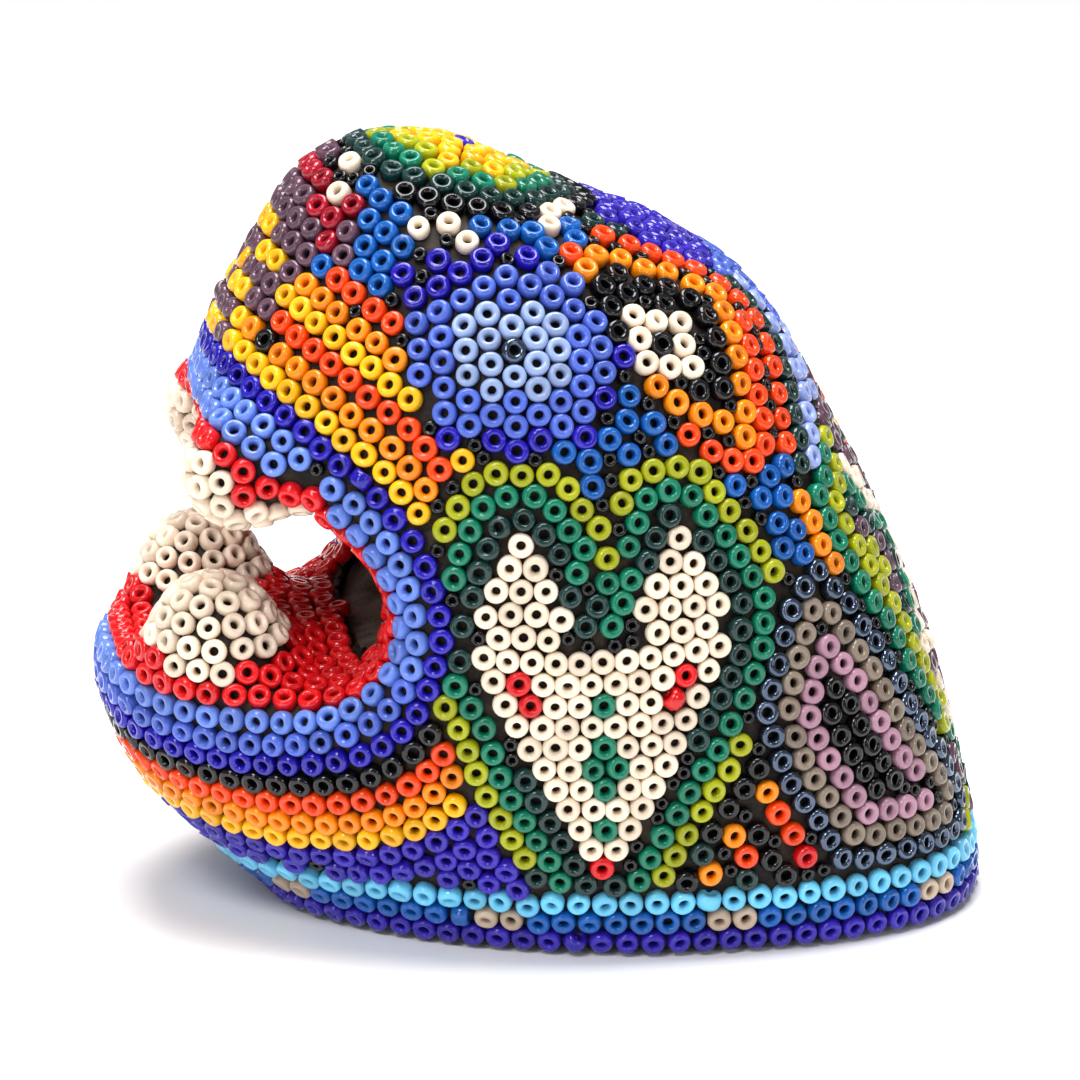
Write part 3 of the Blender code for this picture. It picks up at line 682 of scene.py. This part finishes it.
class Areas:
    """Which vertices of the surface belong to which part of the head."""

    def __init__(self, surface):
        self.points = surface.points
        self.side_view = surface.points[:, 1:]
        mouth = smooth_closed(MOUTH)
        distance = outline_distance(mouth, self.side_view)
        self.from_mouth = np.where(inside(mouth, self.side_view), -distance, distance)
        self.near_mouth = self.zone(y_under=-6.0)
        self.bare = in_block(self.points, BARE_WALL)
        self.lining = (self.from_mouth < LINING_DEPTH) & self.near_mouth
        self.lining |= in_block(self.points, THROAT_WALL)
        self.inner = self.near_mouth & ~self.bare
        self.outer = ~self.lining & ~self.bare & self.zone(z_over=0.8)
        self.above_base = self.outer & self.zone(z_over=BASE_TOP)

    def zone(self, x_over=-1.0, y_over=-99.0, y_under=99.0, z_over=-99.0, z_under=99.0):
        """Vertices between these limits; x_over is a distance from the mirror plane."""
        x, y, z = self.points.T
        return (np.abs(x) > x_over) & (y > y_over) & (y < y_under) & (z > z_over) & (z < z_under)

    def within(self, outline, grow_by=0.0):
        """Vertices inside an outline in the side view, on both cheeks."""
        outline = np.array(outline, float)
        if grow_by:
            outline = grown_outline(outline, grow_by)
        return self.outer & inside(outline, self.side_view)


def base_rings(work, areas):
    height = areas.points[:, 2]
    low_band = areas.outer & areas.zone(z_under=12.0)
    for level, field, colour in BASE_ROWS:

        def style(spot, number, field=field, colour=colour):
            beige = colour == "azure" and number % BEIGE_EVERY < 2
            return field, "beige" if beige else colour

        work.rows(longer(work.surface.level_curves(height, level, low_band), SHORTEST_BASE_ROW), style)


def lip_rows(work, areas):
    """The rows that run all round the open mouth: the red ones, and all the outer ones."""
    surface = work.surface
    first = surface.level_curves(areas.from_mouth, LIP_ROW, areas.outer & areas.near_mouth)
    first = longer(first, SHORTEST_LIP)
    red_rows = next(grow(surface, first, areas.inner & (areas.from_mouth < LIP_ROW), 1), (0, []))[1]
    beyond = areas.above_base & areas.near_mouth & (areas.from_mouth > LIP_ROW)
    second, third = (found for _, found in grow(surface, first, beyond, 2))
    work.rows(red_rows, plain("lip_red_ring", "red"))
    work.rows(first, plain("lip_sky_ring", "sky"))
    work.rows(second, lambda spot, number: (
        "lip_sky_ring", "sky" if spot[2] > LIP_SKY_ABOVE else "cornflower"))
    work.rows(third, plain("lip_royal_ring", "royal"))
    return red_rows, first + second + third


def nose_colour(row, spot):
    """The nose pad: mauve with yellow checks, then mauve rows with a crimson one."""
    if row < CHECK_ROWS:
        place = int(round(abs(spot[0]) / BEAD_STEP))
        checked = (place + 2 * row) % 5 < 2
        return "nose_pad_beads", "yellow" if checked else "mauve"
    return "nose_bridge_beads", "crimson" if row == CRIMSON_ROW else "mauve"


def brow_style(spot, number):
    return "brow_azure_beads", "dark_green" if spot[2] >= BROW_GREEN_ABOVE else "azure"


def upper_rows(work, areas, lips):
    """The muzzle bands and, with the same rows, the nose and the brow."""
    cheeks = areas.zone(x_over=5.0)
    muzzle = areas.within(MUZZLE) & cheeks & ~areas.within(smooth_closed(HEART), HEART_MARGIN)
    front = areas.outer & areas.zone(y_under=-28.0, z_over=45.0)
    allowed = areas.within(NOSE) | muzzle | front | (areas.within(BROW) & cheeks)
    for row, found in grow(work.surface, lips, allowed, UPPER_LIMIT):

        def style(spot, number, row=row):
            above_bands = row >= len(UPPER_ROWS)
            if above_bands and in_side_view(BROW, spot):
                return brow_style(spot, number)
            if above_bands or in_side_view(NOSE, spot):
                return nose_colour(row, spot)
            return "muzzle_band_beads", UPPER_ROWS[row]

        work.rows(found, style)


def lower_rows(work, areas, lips):
    jaw = areas.above_base & areas.zone(y_under=-2.0, z_under=30.0)
    jaw &= ~areas.within(smooth_closed(HEART), HEART_MARGIN)
    for row, found in grow(work.surface, lips, jaw, LOWER_LIMIT):
        work.rows(found, plain(*LOWER_ROWS[min(row, len(LOWER_ROWS) - 1)]))


def first_bead(work, place, field, colour, closest=CLOSEST):
    """Set the bead in the middle of rings; gives the tiny line at it that the rings grow from."""
    spots, normals = work.surface.settle([place])
    work.add(spots[0], normals[0], field, colour, closest=closest)
    return spots + np.array([[0.0, 0.0, 0.0], [0.05, 0.0, 0.0]])


def teeth(work, areas):
    for field, tip, reach in TEETH:
        for side in (1, -1):
            line = first_bead(work, (tip[0] * side, tip[1], tip[2]), field, "cream", PLACE_CLOSEST)
            away = areas.points - line[0]
            near = np.linalg.norm(away, axis=1) < reach
            beside = np.linalg.norm(away[:, :2], axis=1) < TOOTH_RADIUS
            cap = areas.inner & near & beside & (areas.from_mouth < TOOTH_ROOT)
            for _, found in grow(work.surface, [(line, False)], cap, MOST_ROWS):
                work.rows(found, plain(field, "cream"))


def inner_style(spot, number):
    return "palate_beads" if spot[2] > PALATE_ABOVE else "mouth_floor_beads", "red"


def mouth_inside(work, areas, red_rows):
    lining = areas.lining & ~areas.bare
    for _, found in grow(work.surface, red_rows, lining, MOST_ROWS):
        work.rows(found, inner_style)
    work.fill(lining, inner_style)
    work.fill(lining & (areas.from_mouth < 0.0), inner_style, MOUTH_FILL_STEP)


def nested(work, areas, outline, styles, allowed=True, pitch=ROW_PITCH, closest=CLOSEST):
    """Rows inside an outline that is the centre line of the first row."""
    smooth = smooth_closed(outline)
    for side in (1, -1):
        curve = work.surface.cast_side(smooth, side)
        region = areas.within(smooth) & (areas.points[:, 0] * side > 3.0) & allowed
        work.row(curve, True, styles(0))
        for row, found in grow(work.surface, [(curve, True)], region, MOST_ROWS, pitch):
            work.rows(found, styles(row + 1), closest)


def ring_styles(field, colours):
    return lambda row: plain(field, colours[min(row, len(colours) - 1)])


def set_places(work, places, field, colour):
    """Beads at given places in the side view, on both cheeks."""
    for side in (1, -1):
        spots = work.surface.cast_side(places, side)
        for spot, normal in zip(*work.surface.settle(spots)):
            work.add(spot, normal, field, colour, closest=PLACE_CLOSEST)


def face_rows():
    """(row, place in the row, y, z) of every bead of the face."""
    for row, beads in enumerate(EAR_BEADS):
        for middle in FACE_EARS:
            for place in range(beads):
                y = FACE_CENTRE + middle + (place - (beads - 1) / 2) * EAR_STEP
                yield row, -1, y, FACE_TOP - row * EAR_ROW
    for step in range(FACE_WIDEST):
        beads = FACE_WIDEST - step
        down = step / (FACE_WIDEST - 1)
        for place in range(beads):
            across = (place - (beads - 1) / 2) * FACE_STEP
            rise = FACE_SAG * (1 - down) * (2 * across / (FACE_WIDEST * FACE_STEP)) ** 2
            yield (step + len(EAR_BEADS), place, FACE_CENTRE + across,
                   FACE_BAR + (FACE_CHIN - FACE_BAR) * down + rise)


def heart(work, areas):
    for row, place, y, z in face_rows():
        colour = "cream"
        if (row, place) in FACE_RED:
            colour = "red"
        elif (row, place) in FACE_GREEN:
            colour = "green"
        set_places(work, [(y, z)], "heart_face_beads", colour)
    rim = areas.zone(z_over=BASE_TOP) & ~areas.within(FACE)
    nested(work, areas, HEART, ring_styles("heart_rim_beads", HEART_COLOURS), rim, HEART_PITCH, HEART_CLOSEST)
    work.fill(areas.within(smooth_closed(HEART)) & areas.zone(z_over=FILL_LOWEST),
              plain("heart_rim_beads", "dark_green"))


def triangle(work, areas):
    def styles(row):
        colour = TRIANGLE_COLOURS[min(row, len(TRIANGLE_COLOURS) - 1)]
        return plain("neck_triangle_rim" if row < 2 else "neck_triangle_centre", colour)

    nested(work, areas, TRIANGLE, styles)


def chevrons(work):
    for place, colour in CHEVRON_BEADS:
        set_places(work, [place], "chevron_beads", colour)


def laid_curves(surface, points):
    """An open 3-D line, smoothed and laid on both sides of the head."""
    line = smooth_open(points)
    return [(surface.settle(line * np.array([side, 1.0, 1.0]))[0], False) for side in (1, -1)]


def ear(work, areas):
    set_places(work, EAR_CREAM, "ear_beads", "cream")
    first, last, height = EAR_OPENING

    def styles(row):
        def style(spot, number):
            opening = first < spot[1] < last and spot[2] < height
            return "ear_beads", "black" if row > 0 or opening else "amber"
        return style

    nested(work, areas, EAR, styles)
    work.fill(areas.within(smooth_closed(EAR)), plain("ear_beads", "black"), EAR_FILL_STEP)
    outer = laid_curves(work.surface, EAR_OUTER)
    work.rows(laid_curves(work.surface, EAR_EDGE) + outer, plain("ear_beads", "orange"))
    for _, found in grow(work.surface, outer, areas.within(EAR_BEHIND), 1):
        work.rows(found, plain("ear_beads", "dark_green"))


def eye_colour(across, up):
    """Colour of the eye's bead at a distance from the pupil, or None outside the eye."""
    reach = math.hypot(across / EYE_REACH[0], up / EYE_REACH[1])
    for limit, colour in EYE_COLOURS:
        if reach < limit:
            return colour
    below = up < 0.3 and across > -6.0
    above = up > 2.5 and across < 4.0
    return "royal" if reach < EYE_ROYAL and (below or above) else None


def eye(work):
    for column in range(-EYE_COLUMNS, EYE_COLUMNS + 1):
        for place in range(-EYE_COLUMNS, EYE_COLUMNS + 1):
            across = column * EYE_COLUMN
            up = (place + (column % 2) / 2) * EYE_STEP
            colour = eye_colour(across, up)
            if colour:
                set_places(work, [(EYE_CENTRE[0] + across, EYE_CENTRE[1] + up)], "eye_beads", colour)


def flower(work, areas):
    """A bead on the forehead and rings round it, two of them broken up into petals."""
    top = work.surface.tree.ray_cast(Vector((*FLOWER_CENTRE, 100.0)), Vector((0.0, 0.0, -1.0)))[0]
    line = first_bead(work, top, "forehead_flower_beads", FLOWER_COLOURS[0])
    region = areas.outer & areas.zone(z_over=58.0)
    for ring, found in grow(work.surface, [(line, False)], region, len(FLOWER_COLOURS) - 1):

        def style(spot, number, ring=ring):
            turn = math.atan2(spot[0] - FLOWER_CENTRE[0], spot[1] - FLOWER_CENTRE[1])
            petal = ring in PETAL_RINGS and math.cos(PETALS * turn) > PETAL_EDGE
            return "forehead_flower_beads", FLOWER_COLOURS[ring if petal else ring + 1]

        work.rows(found, style)


def back_colour(column, spot):
    """Columns beside the corner row, then stepped diamonds towards the middle of the back."""
    if column < 2:
        return "back_panel_beads", ("green", "lime")[column]
    x, _, z = spot
    steps = min(abs(x) / ROW_PITCH + abs(z - centre) / BEAD_STEP for centre in DIAMOND_CENTRES)
    return "back_panel_beads", DIAMOND_COLOURS[min(int(steps), len(DIAMOND_COLOURS) - 1)]


def corner_and_back(work, areas):
    def style(spot, number):
        if spot[2] > CORNER_TOP:
            return "nape_lavender_beads", "lavender"
        return "amber_corner_row", "amber"

    curves = laid_curves(work.surface, CORNER)
    work.rows(curves, style)
    behind = np.vstack([smooth_open(CORNER)[:, 1:], [(8.0, 60.0), (60.0, 75.0), (60.0, 3.0)]])
    back = areas.above_base & inside(behind, areas.side_view) & areas.zone(z_under=BACK_TOP)
    for column, found in grow(work.surface, curves, back, MOST_ROWS):
        work.rows(found, lambda spot, number, column=column: back_colour(column, spot))


def crown(work, areas):
    """Violet rows on the crown and paler ones down the nape, parallel to the middle."""
    region = areas.outer & areas.zone(y_over=0.0, z_over=44.0)
    region &= ~(areas.within(smooth_closed(EAR_SURROUND)) & areas.zone(x_over=CROWN_HALF))

    def style(spot, number):
        x, y, z = spot
        if y < CROWN_FRONT or abs(x) > CROWN_EDGE:
            return "crown_beads", "dark_green"
        if z > CROWN_VIOLET_ABOVE:
            return "crown_beads", "violet"
        return "nape_lavender_beads", "cornflower" if z > NAPE_BLUE_ABOVE else "lavender"

    for row in range(CROWN_ROWS):
        for side in ((1, -1) if row else (1,)):
            level = row * ROW_PITCH + MIDDLE_OFFSET
            work.rows(work.surface.level_curves(areas.points[:, 0] * side, level, region), style)
    work.fill(region, style)


def chevron_style(spot, number):
    return "chevron_beads", "black" if int(spot[1] * 3) % 4 else "dark_green"


def leftovers(work, areas):
    """Close the holes between the motifs with beads of the nearby field."""
    outer, above_base = areas.outer, areas.above_base
    brow = areas.zone(y_under=2.0, z_over=56.0)
    temple = areas.zone(x_over=8.0, y_over=-14.0, y_under=24.0, z_over=27.5)
    neck = areas.zone(x_over=10.0, y_over=4.0, y_under=34.0, z_under=30.0)
    holes = [
        (outer & brow & areas.zone(x_over=2.0), brow_style),
        (above_base & brow, brow_style),
        (outer & temple, plain("temple_azure_beads", "azure")),
        (above_base & neck, chevron_style),
        (above_base & areas.zone(y_over=14.0), lambda spot, number: back_colour(3, spot)),
        (above_base & areas.zone(z_under=30.0), plain("throat_violet_beads", "violet")),
        (above_base, plain("muzzle_band_beads", "amber")),
    ]
    for allowed, style in holes:
        work.fill(allowed, style)


def fillers(work, areas):
    """Tiny black beads in the smaller gaps, in the field of the nearest full-size bead."""
    gaps = areas.above_base & areas.zone(z_over=BASE_TOP + 0.5)
    gaps &= rng.random(len(gaps)) < FILLER_SHARE
    spots, fields = np.array(work.spots), list(work.fields)

    def style(spot, number):
        nearest = int(np.argmin(np.linalg.norm(spots - np.array(spot), axis=1)))
        return fields[nearest].removesuffix("_right").removesuffix("_left"), "black"

    work.fill(gaps, style, FILLER_STEP, FILLER_SCALE)


def accents(work):
    for colour, places in SIDE_ACCENTS:
        for side in (1, -1):
            for place in work.surface.cast_side(places, side):
                work.recolour(place, colour)


def all_beads():
    """Every bead, in the order in which a motif may take the space of a later one."""
    surface = Surface(fine_mesh(CORE_TO_BEADS))
    areas = Areas(surface)
    work = Beadwork(surface)
    base_rings(work, areas)
    red_rows, lips = lip_rows(work, areas)
    eye(work)
    ear(work, areas)
    upper_rows(work, areas, lips)
    lower_rows(work, areas, lips)
    teeth(work, areas)
    mouth_inside(work, areas, red_rows)
    chevrons(work)
    triangle(work, areas)
    heart(work, areas)
    flower(work, areas)
    corner_and_back(work, areas)
    crown(work, areas)
    leftovers(work, areas)
    fillers(work, areas)
    work.relax()
    accents(work)
    return work


# --- Meshes ---

def signed_power(value):
    return math.copysign(abs(value) ** PROFILE_POWER, value)


def ring_template():
    """Points, quads and map corners of one glass ring round the z axis, at a bead's size."""
    outer, hole = BEAD_WIDTH / 2, HOLE_WIDTH / 2
    middle, thick, tall = (outer + hole) / 2, (outer - hole) / 2, BEAD_HEIGHT / 2
    points, quads, corners = [], [], []
    for i in range(RING_SIDES):
        turn = 2 * math.pi * i / RING_SIDES
        i2 = (i + 1) % RING_SIDES
        u0, u1 = i / RING_SIDES, (i + 1) / RING_SIDES
        for j in range(PROFILE_SIDES):
            a = 2 * math.pi * (j + 0.5) / PROFILE_SIDES
            radius = middle + thick * signed_power(math.cos(a))
            height = tall * signed_power(math.sin(a))
            points.append((radius * math.cos(turn), radius * math.sin(turn), height))
            j2 = (j + 1) % PROFILE_SIDES
            quads.append((i * PROFILE_SIDES + j, i2 * PROFILE_SIDES + j,
                          i2 * PROFILE_SIDES + j2, i * PROFILE_SIDES + j2))
            v0, v1 = j / PROFILE_SIDES, (j + 1) / PROFILE_SIDES
            corners.append(((u0, v0), (u1, v0), (u1, v1), (u0, v1)))
    return np.array(points), np.array(quads), np.array(corners)


def bead_frames(normals, lying):
    """Rotation matrices that stand the rings on the surface, or lay some of them down."""
    axes = normals + rng.normal(0.0, TILT, normals.shape)
    axes /= np.linalg.norm(axes, axis=1)[:, None]
    helper = rng.normal(0.0, 1.0, normals.shape)
    first = np.cross(helper, axes)
    first /= np.linalg.norm(first, axis=1)[:, None]
    second = np.cross(axes, first)
    upright = np.stack([first, second, axes], 2)
    laid = np.stack([second, axes, first], 2)
    return np.where(lying[:, None, None], laid, upright)


def bead_mesh(name, spots, frames, scales, tones):
    """One mesh with a ring at every spot."""
    template, quads, corners = ring_template()
    count, size = len(spots), len(template)
    stretch = scales[:, None, None] * (1 + rng.normal(0.0, STRETCH_SPREAD, (count, 1, 3)))
    points = np.einsum("nij,npj->npi", frames, template[None] * stretch) + spots[:, None, :]
    loops = (quads[None] + (np.arange(count) * size)[:, None, None]).reshape(-1)
    polygons = len(loops) // 4
    mesh = bpy.data.meshes.new(name)
    mesh.vertices.add(count * size)
    mesh.vertices.foreach_set("co", (points * METRES).ravel())
    mesh.loops.add(len(loops))
    mesh.loops.foreach_set("vertex_index", loops.astype(np.int32))
    mesh.polygons.add(polygons)
    mesh.polygons.foreach_set("loop_start", (np.arange(polygons) * 4).astype(np.int32))
    mesh.update(calc_edges=True)
    mesh.shade_smooth()
    # Each ring has a square cell of the map to itself.
    layer = mesh.uv_layers.new(name="OFBake")
    side = math.ceil(math.sqrt(count))
    cell = np.stack([np.arange(count) % side, np.arange(count) // side], 1) / side
    within_cell = CELL_MARGIN / side + corners.reshape(1, -1, 2) * (1 - 2 * CELL_MARGIN) / side
    layer.data.foreach_set("uv", (cell[:, None, :] + within_cell).reshape(-1))
    tone = mesh.attributes.new("bead_tone", "FLOAT", "POINT")
    tone.data.foreach_set("value", np.repeat(tones, size).astype(np.float32))
    return mesh


def link(name, data):
    """A new object with the data, in the scene."""
    item = bpy.data.objects.new(name, data)
    bpy.context.scene.collection.objects.link(item)
    return item


def show(name, mesh, material, slot, replaced):
    item = link(name, mesh)
    mesh.materials.clear()
    mesh.materials.append(material)
    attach(item, "root")
    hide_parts(replaced)


def show_beads(work):
    """One piece for each colour of each field."""
    spots, normals = np.array(work.spots), np.array(work.normals)
    full_size = np.array(work.scales) == 1.0
    scales = np.array(work.scales) * (1 + rng.normal(0.0, SIZE_SPREAD, len(spots)))
    lying = (rng.random(len(spots)) < LYING_SHARE) & full_size
    frames = bead_frames(normals, lying)
    tones = rng.random(len(spots))
    materials = {colour: glass_material(colour) for colour in COLOURS}
    groups = {}
    for i, group in enumerate(zip(work.fields, work.colours)):
        groups.setdefault(group, []).append(i)
    for (field, colour), members in sorted(groups.items()):
        name = f"{field}_{colour}"
        mesh = bead_mesh(name, spots[members], frames[members], scales[members], tones[members])
        show(name, mesh, materials[colour], SHARED_SLOTS.get(colour, colour), field)


def show_wax():
    """The wax between the beads: the bead surface, a little lower, as a thin closed shell."""
    mesh = fine_mesh(CORE_TO_BEADS - WAX_DEPTH)
    points = vertex_values(mesh, "co") / METRES
    hidden = in_block(points, BARE_WALL) | (points[:, 2] < WAX_FOOT)
    faces = [tuple(polygon.vertices) for polygon in mesh.polygons]
    faces = [face for face in faces if not all(hidden[v] for v in face)]
    used = sorted({v for face in faces for v in face})
    index = {v: i for i, v in enumerate(used)}
    points = points[used]
    points[:, 2] = np.maximum(points[:, 2], WAX_FOOT)
    shell = bpy.data.meshes.new("wax")
    shell.from_pydata((points * METRES).tolist(), [], [tuple(index[v] for v in face) for face in faces])
    solid = evaluated_copy("wax", shell, ("SOLIDIFY", {"thickness": WAX_THICKNESS * METRES, "offset": -1.0}))
    solid.shade_smooth()
    show("wax_between_beads", solid, mottled_material("wax", *WAX), "wax", "wax_coat")


def show_core():
    """The bare wood that shows at the back of the mouth and under the base."""
    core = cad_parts["carved_core"].data.copy()
    mesh = evaluated_copy("core", core, remesh_step(VOXEL), smooth_step(CORE_SMOOTHING))
    points = vertex_values(mesh, "co")
    points[:, 2] = np.maximum(points[:, 2], 0.0)
    mesh.vertices.foreach_set("co", points.ravel())
    mesh.shade_smooth()
    show("wooden_core", mesh, mottled_material("wood", *WOOD), "core", "carved_core")


# --- Materials ---

def new_material(name, values):
    """A material whose shader has the given values on its sockets."""
    material = bpy.data.materials.new(name)
    material.use_nodes = True
    shader = material.node_tree.nodes["Principled BSDF"]
    for socket, value in values.items():
        shader.inputs[socket].default_value = value
    return material, material.node_tree, shader


def add_node(tree, kind, values, links):
    """A shader node with values and links on its inputs."""
    node = tree.nodes.new(f"ShaderNode{kind}")
    for socket, value in values.items():
        node.inputs[socket].default_value = value
    for socket, source in links.items():
        tree.links.new(source, node.inputs[socket])
    return node


def add_noise(tree, **values):
    place = add_node(tree, "TexCoord", {}, {})
    return add_node(tree, "TexNoise", values, {"Vector": place.outputs["Object"]}).outputs["Fac"]


def add_ramp(tree, shader, source, positions, colours):
    """The shader's base colour from a ramp through the colours."""
    ramp = add_node(tree, "ValToRGB", {}, {"Fac": source})
    elements = ramp.color_ramp.elements
    while len(elements) < len(colours):
        elements.new(0.5)
    for element, position, colour in zip(elements, positions, colours):
        element.position = position
        element.color = (*colour, 1.0)
    tree.links.new(ramp.outputs["Color"], shader.inputs["Base Color"])


def add_relief(tree, shader, source, strength, distance):
    bump = add_node(tree, "Bump", {"Strength": strength, "Distance": distance}, {"Height": source})
    tree.links.new(bump.outputs["Normal"], shader.inputs["Normal"])


def glass_material(name):
    """Pressed glass: a tone that differs from bead to bead, fine streaks and a sharp gloss."""
    metal = name == "gunmetal"
    roughness = METAL_ROUGHNESS if metal else MILKY_ROUGHNESS if name in MILKY else GLASS_ROUGHNESS
    values = {"Roughness": roughness, "Metallic": METAL_SHARE if metal else 0.0,
              "IOR": GLASS_IOR, "Specular IOR Level": GLASS_SPECULAR}
    material, tree, shader = new_material(f"glass_{name}", values)
    tone = add_node(tree, "Attribute", {}, {})
    tone.attribute_name = "bead_tone"
    streaks = add_noise(tree, Scale=STREAK_SCALE, Detail=3.0)
    blend = add_node(tree, "Math", {1: STREAK_SHARE}, {0: streaks})
    blend.operation = "MULTIPLY_ADD"
    tree.links.new(tone.outputs["Fac"], blend.inputs[2])
    dark = [channel * DARKEST for channel in COLOURS[name]]
    light = [min(channel * LIGHTEST, 1.0) for channel in COLOURS[name]]
    add_ramp(tree, shader, blend.outputs[0], TONE_RANGE, (dark, light))
    add_relief(tree, shader, streaks, *STREAK_RELIEF)
    return material


def mottled_material(name, dark, middle, light, scale, roughness, relief):
    """Wax or bare wood: three mottled tones and a rough relief."""
    values = {"Roughness": roughness, "Specular IOR Level": 0.2}
    material, tree, shader = new_material(name, values)
    noise = add_noise(tree, Scale=scale, Detail=6.0, Roughness=0.65)
    add_ramp(tree, shader, noise, MOTTLE_RANGE, (dark, middle, light))
    add_relief(tree, shader, noise, relief, MOTTLE_DEPTH)
    return material


# --- Stage ---

def add_floor():
    mesh = bpy.data.meshes.new("floor")
    half = FLOOR_SIZE / 2 * METRES
    corners = [(-half, -half, 0), (half, -half, 0), (half, half, 0), (-half, half, 0)]
    mesh.from_pydata(corners, [], [(0, 1, 2, 3)])
    floor = link("floor", mesh)
    values = {"Base Color": (0.93, 0.93, 0.925, 1.0), "Roughness": 0.6}
    mesh.materials.append(new_material("floor", values)[0])


def add_area_light(name, place, size, power):
    """A rectangular light that faces the middle of the head."""
    light = bpy.data.lights.new(name, "AREA")
    light.shape = "RECTANGLE"
    light.size = size[0] * METRES
    light.size_y = size[1] * METRES
    light.energy = power
    item = link(name, light)
    item.location = Vector(place) * METRES
    direction = Vector(LIGHT_TARGET) - Vector(place)
    item.rotation_euler = direction.to_track_quat("-Z", "Y").to_euler()


def add_lights():
    world = bpy.data.worlds.new("studio")
    bpy.context.scene.world = world
    world.use_nodes = True
    background = world.node_tree.nodes["Background"]
    background.inputs["Color"].default_value = (1.0, 1.0, 1.0, 1.0)
    background.inputs["Strength"].default_value = WORLD_STRENGTH
    for name, place, size, power in LIGHTS:
        add_area_light(name, place, size, power)


def add_view():
    """Plain display colours, without a film curve."""
    bpy.context.scene.view_settings.view_transform = "Standard"


def add_camera():
    azimuth, elevation = math.radians(CAMERA_AZIMUTH), math.radians(CAMERA_ELEVATION)
    away = Vector((math.sin(azimuth) * math.cos(elevation), -math.cos(azimuth) * math.cos(elevation),
                   math.sin(elevation)))
    camera = bpy.data.cameras.new("camera")
    camera.lens = CAMERA_LENS
    camera.sensor_width = SENSOR_WIDTH
    item = link("camera", camera)
    item.location = (Vector(CAMERA_TARGET) + away * CAMERA_DISTANCE) * METRES
    item.rotation_euler = (-away).to_track_quat("-Z", "Y").to_euler()
    bpy.context.scene.camera = item


show_beads(all_beads())
show_wax()
show_core()
add_floor()
add_lights()
add_camera()
add_view()
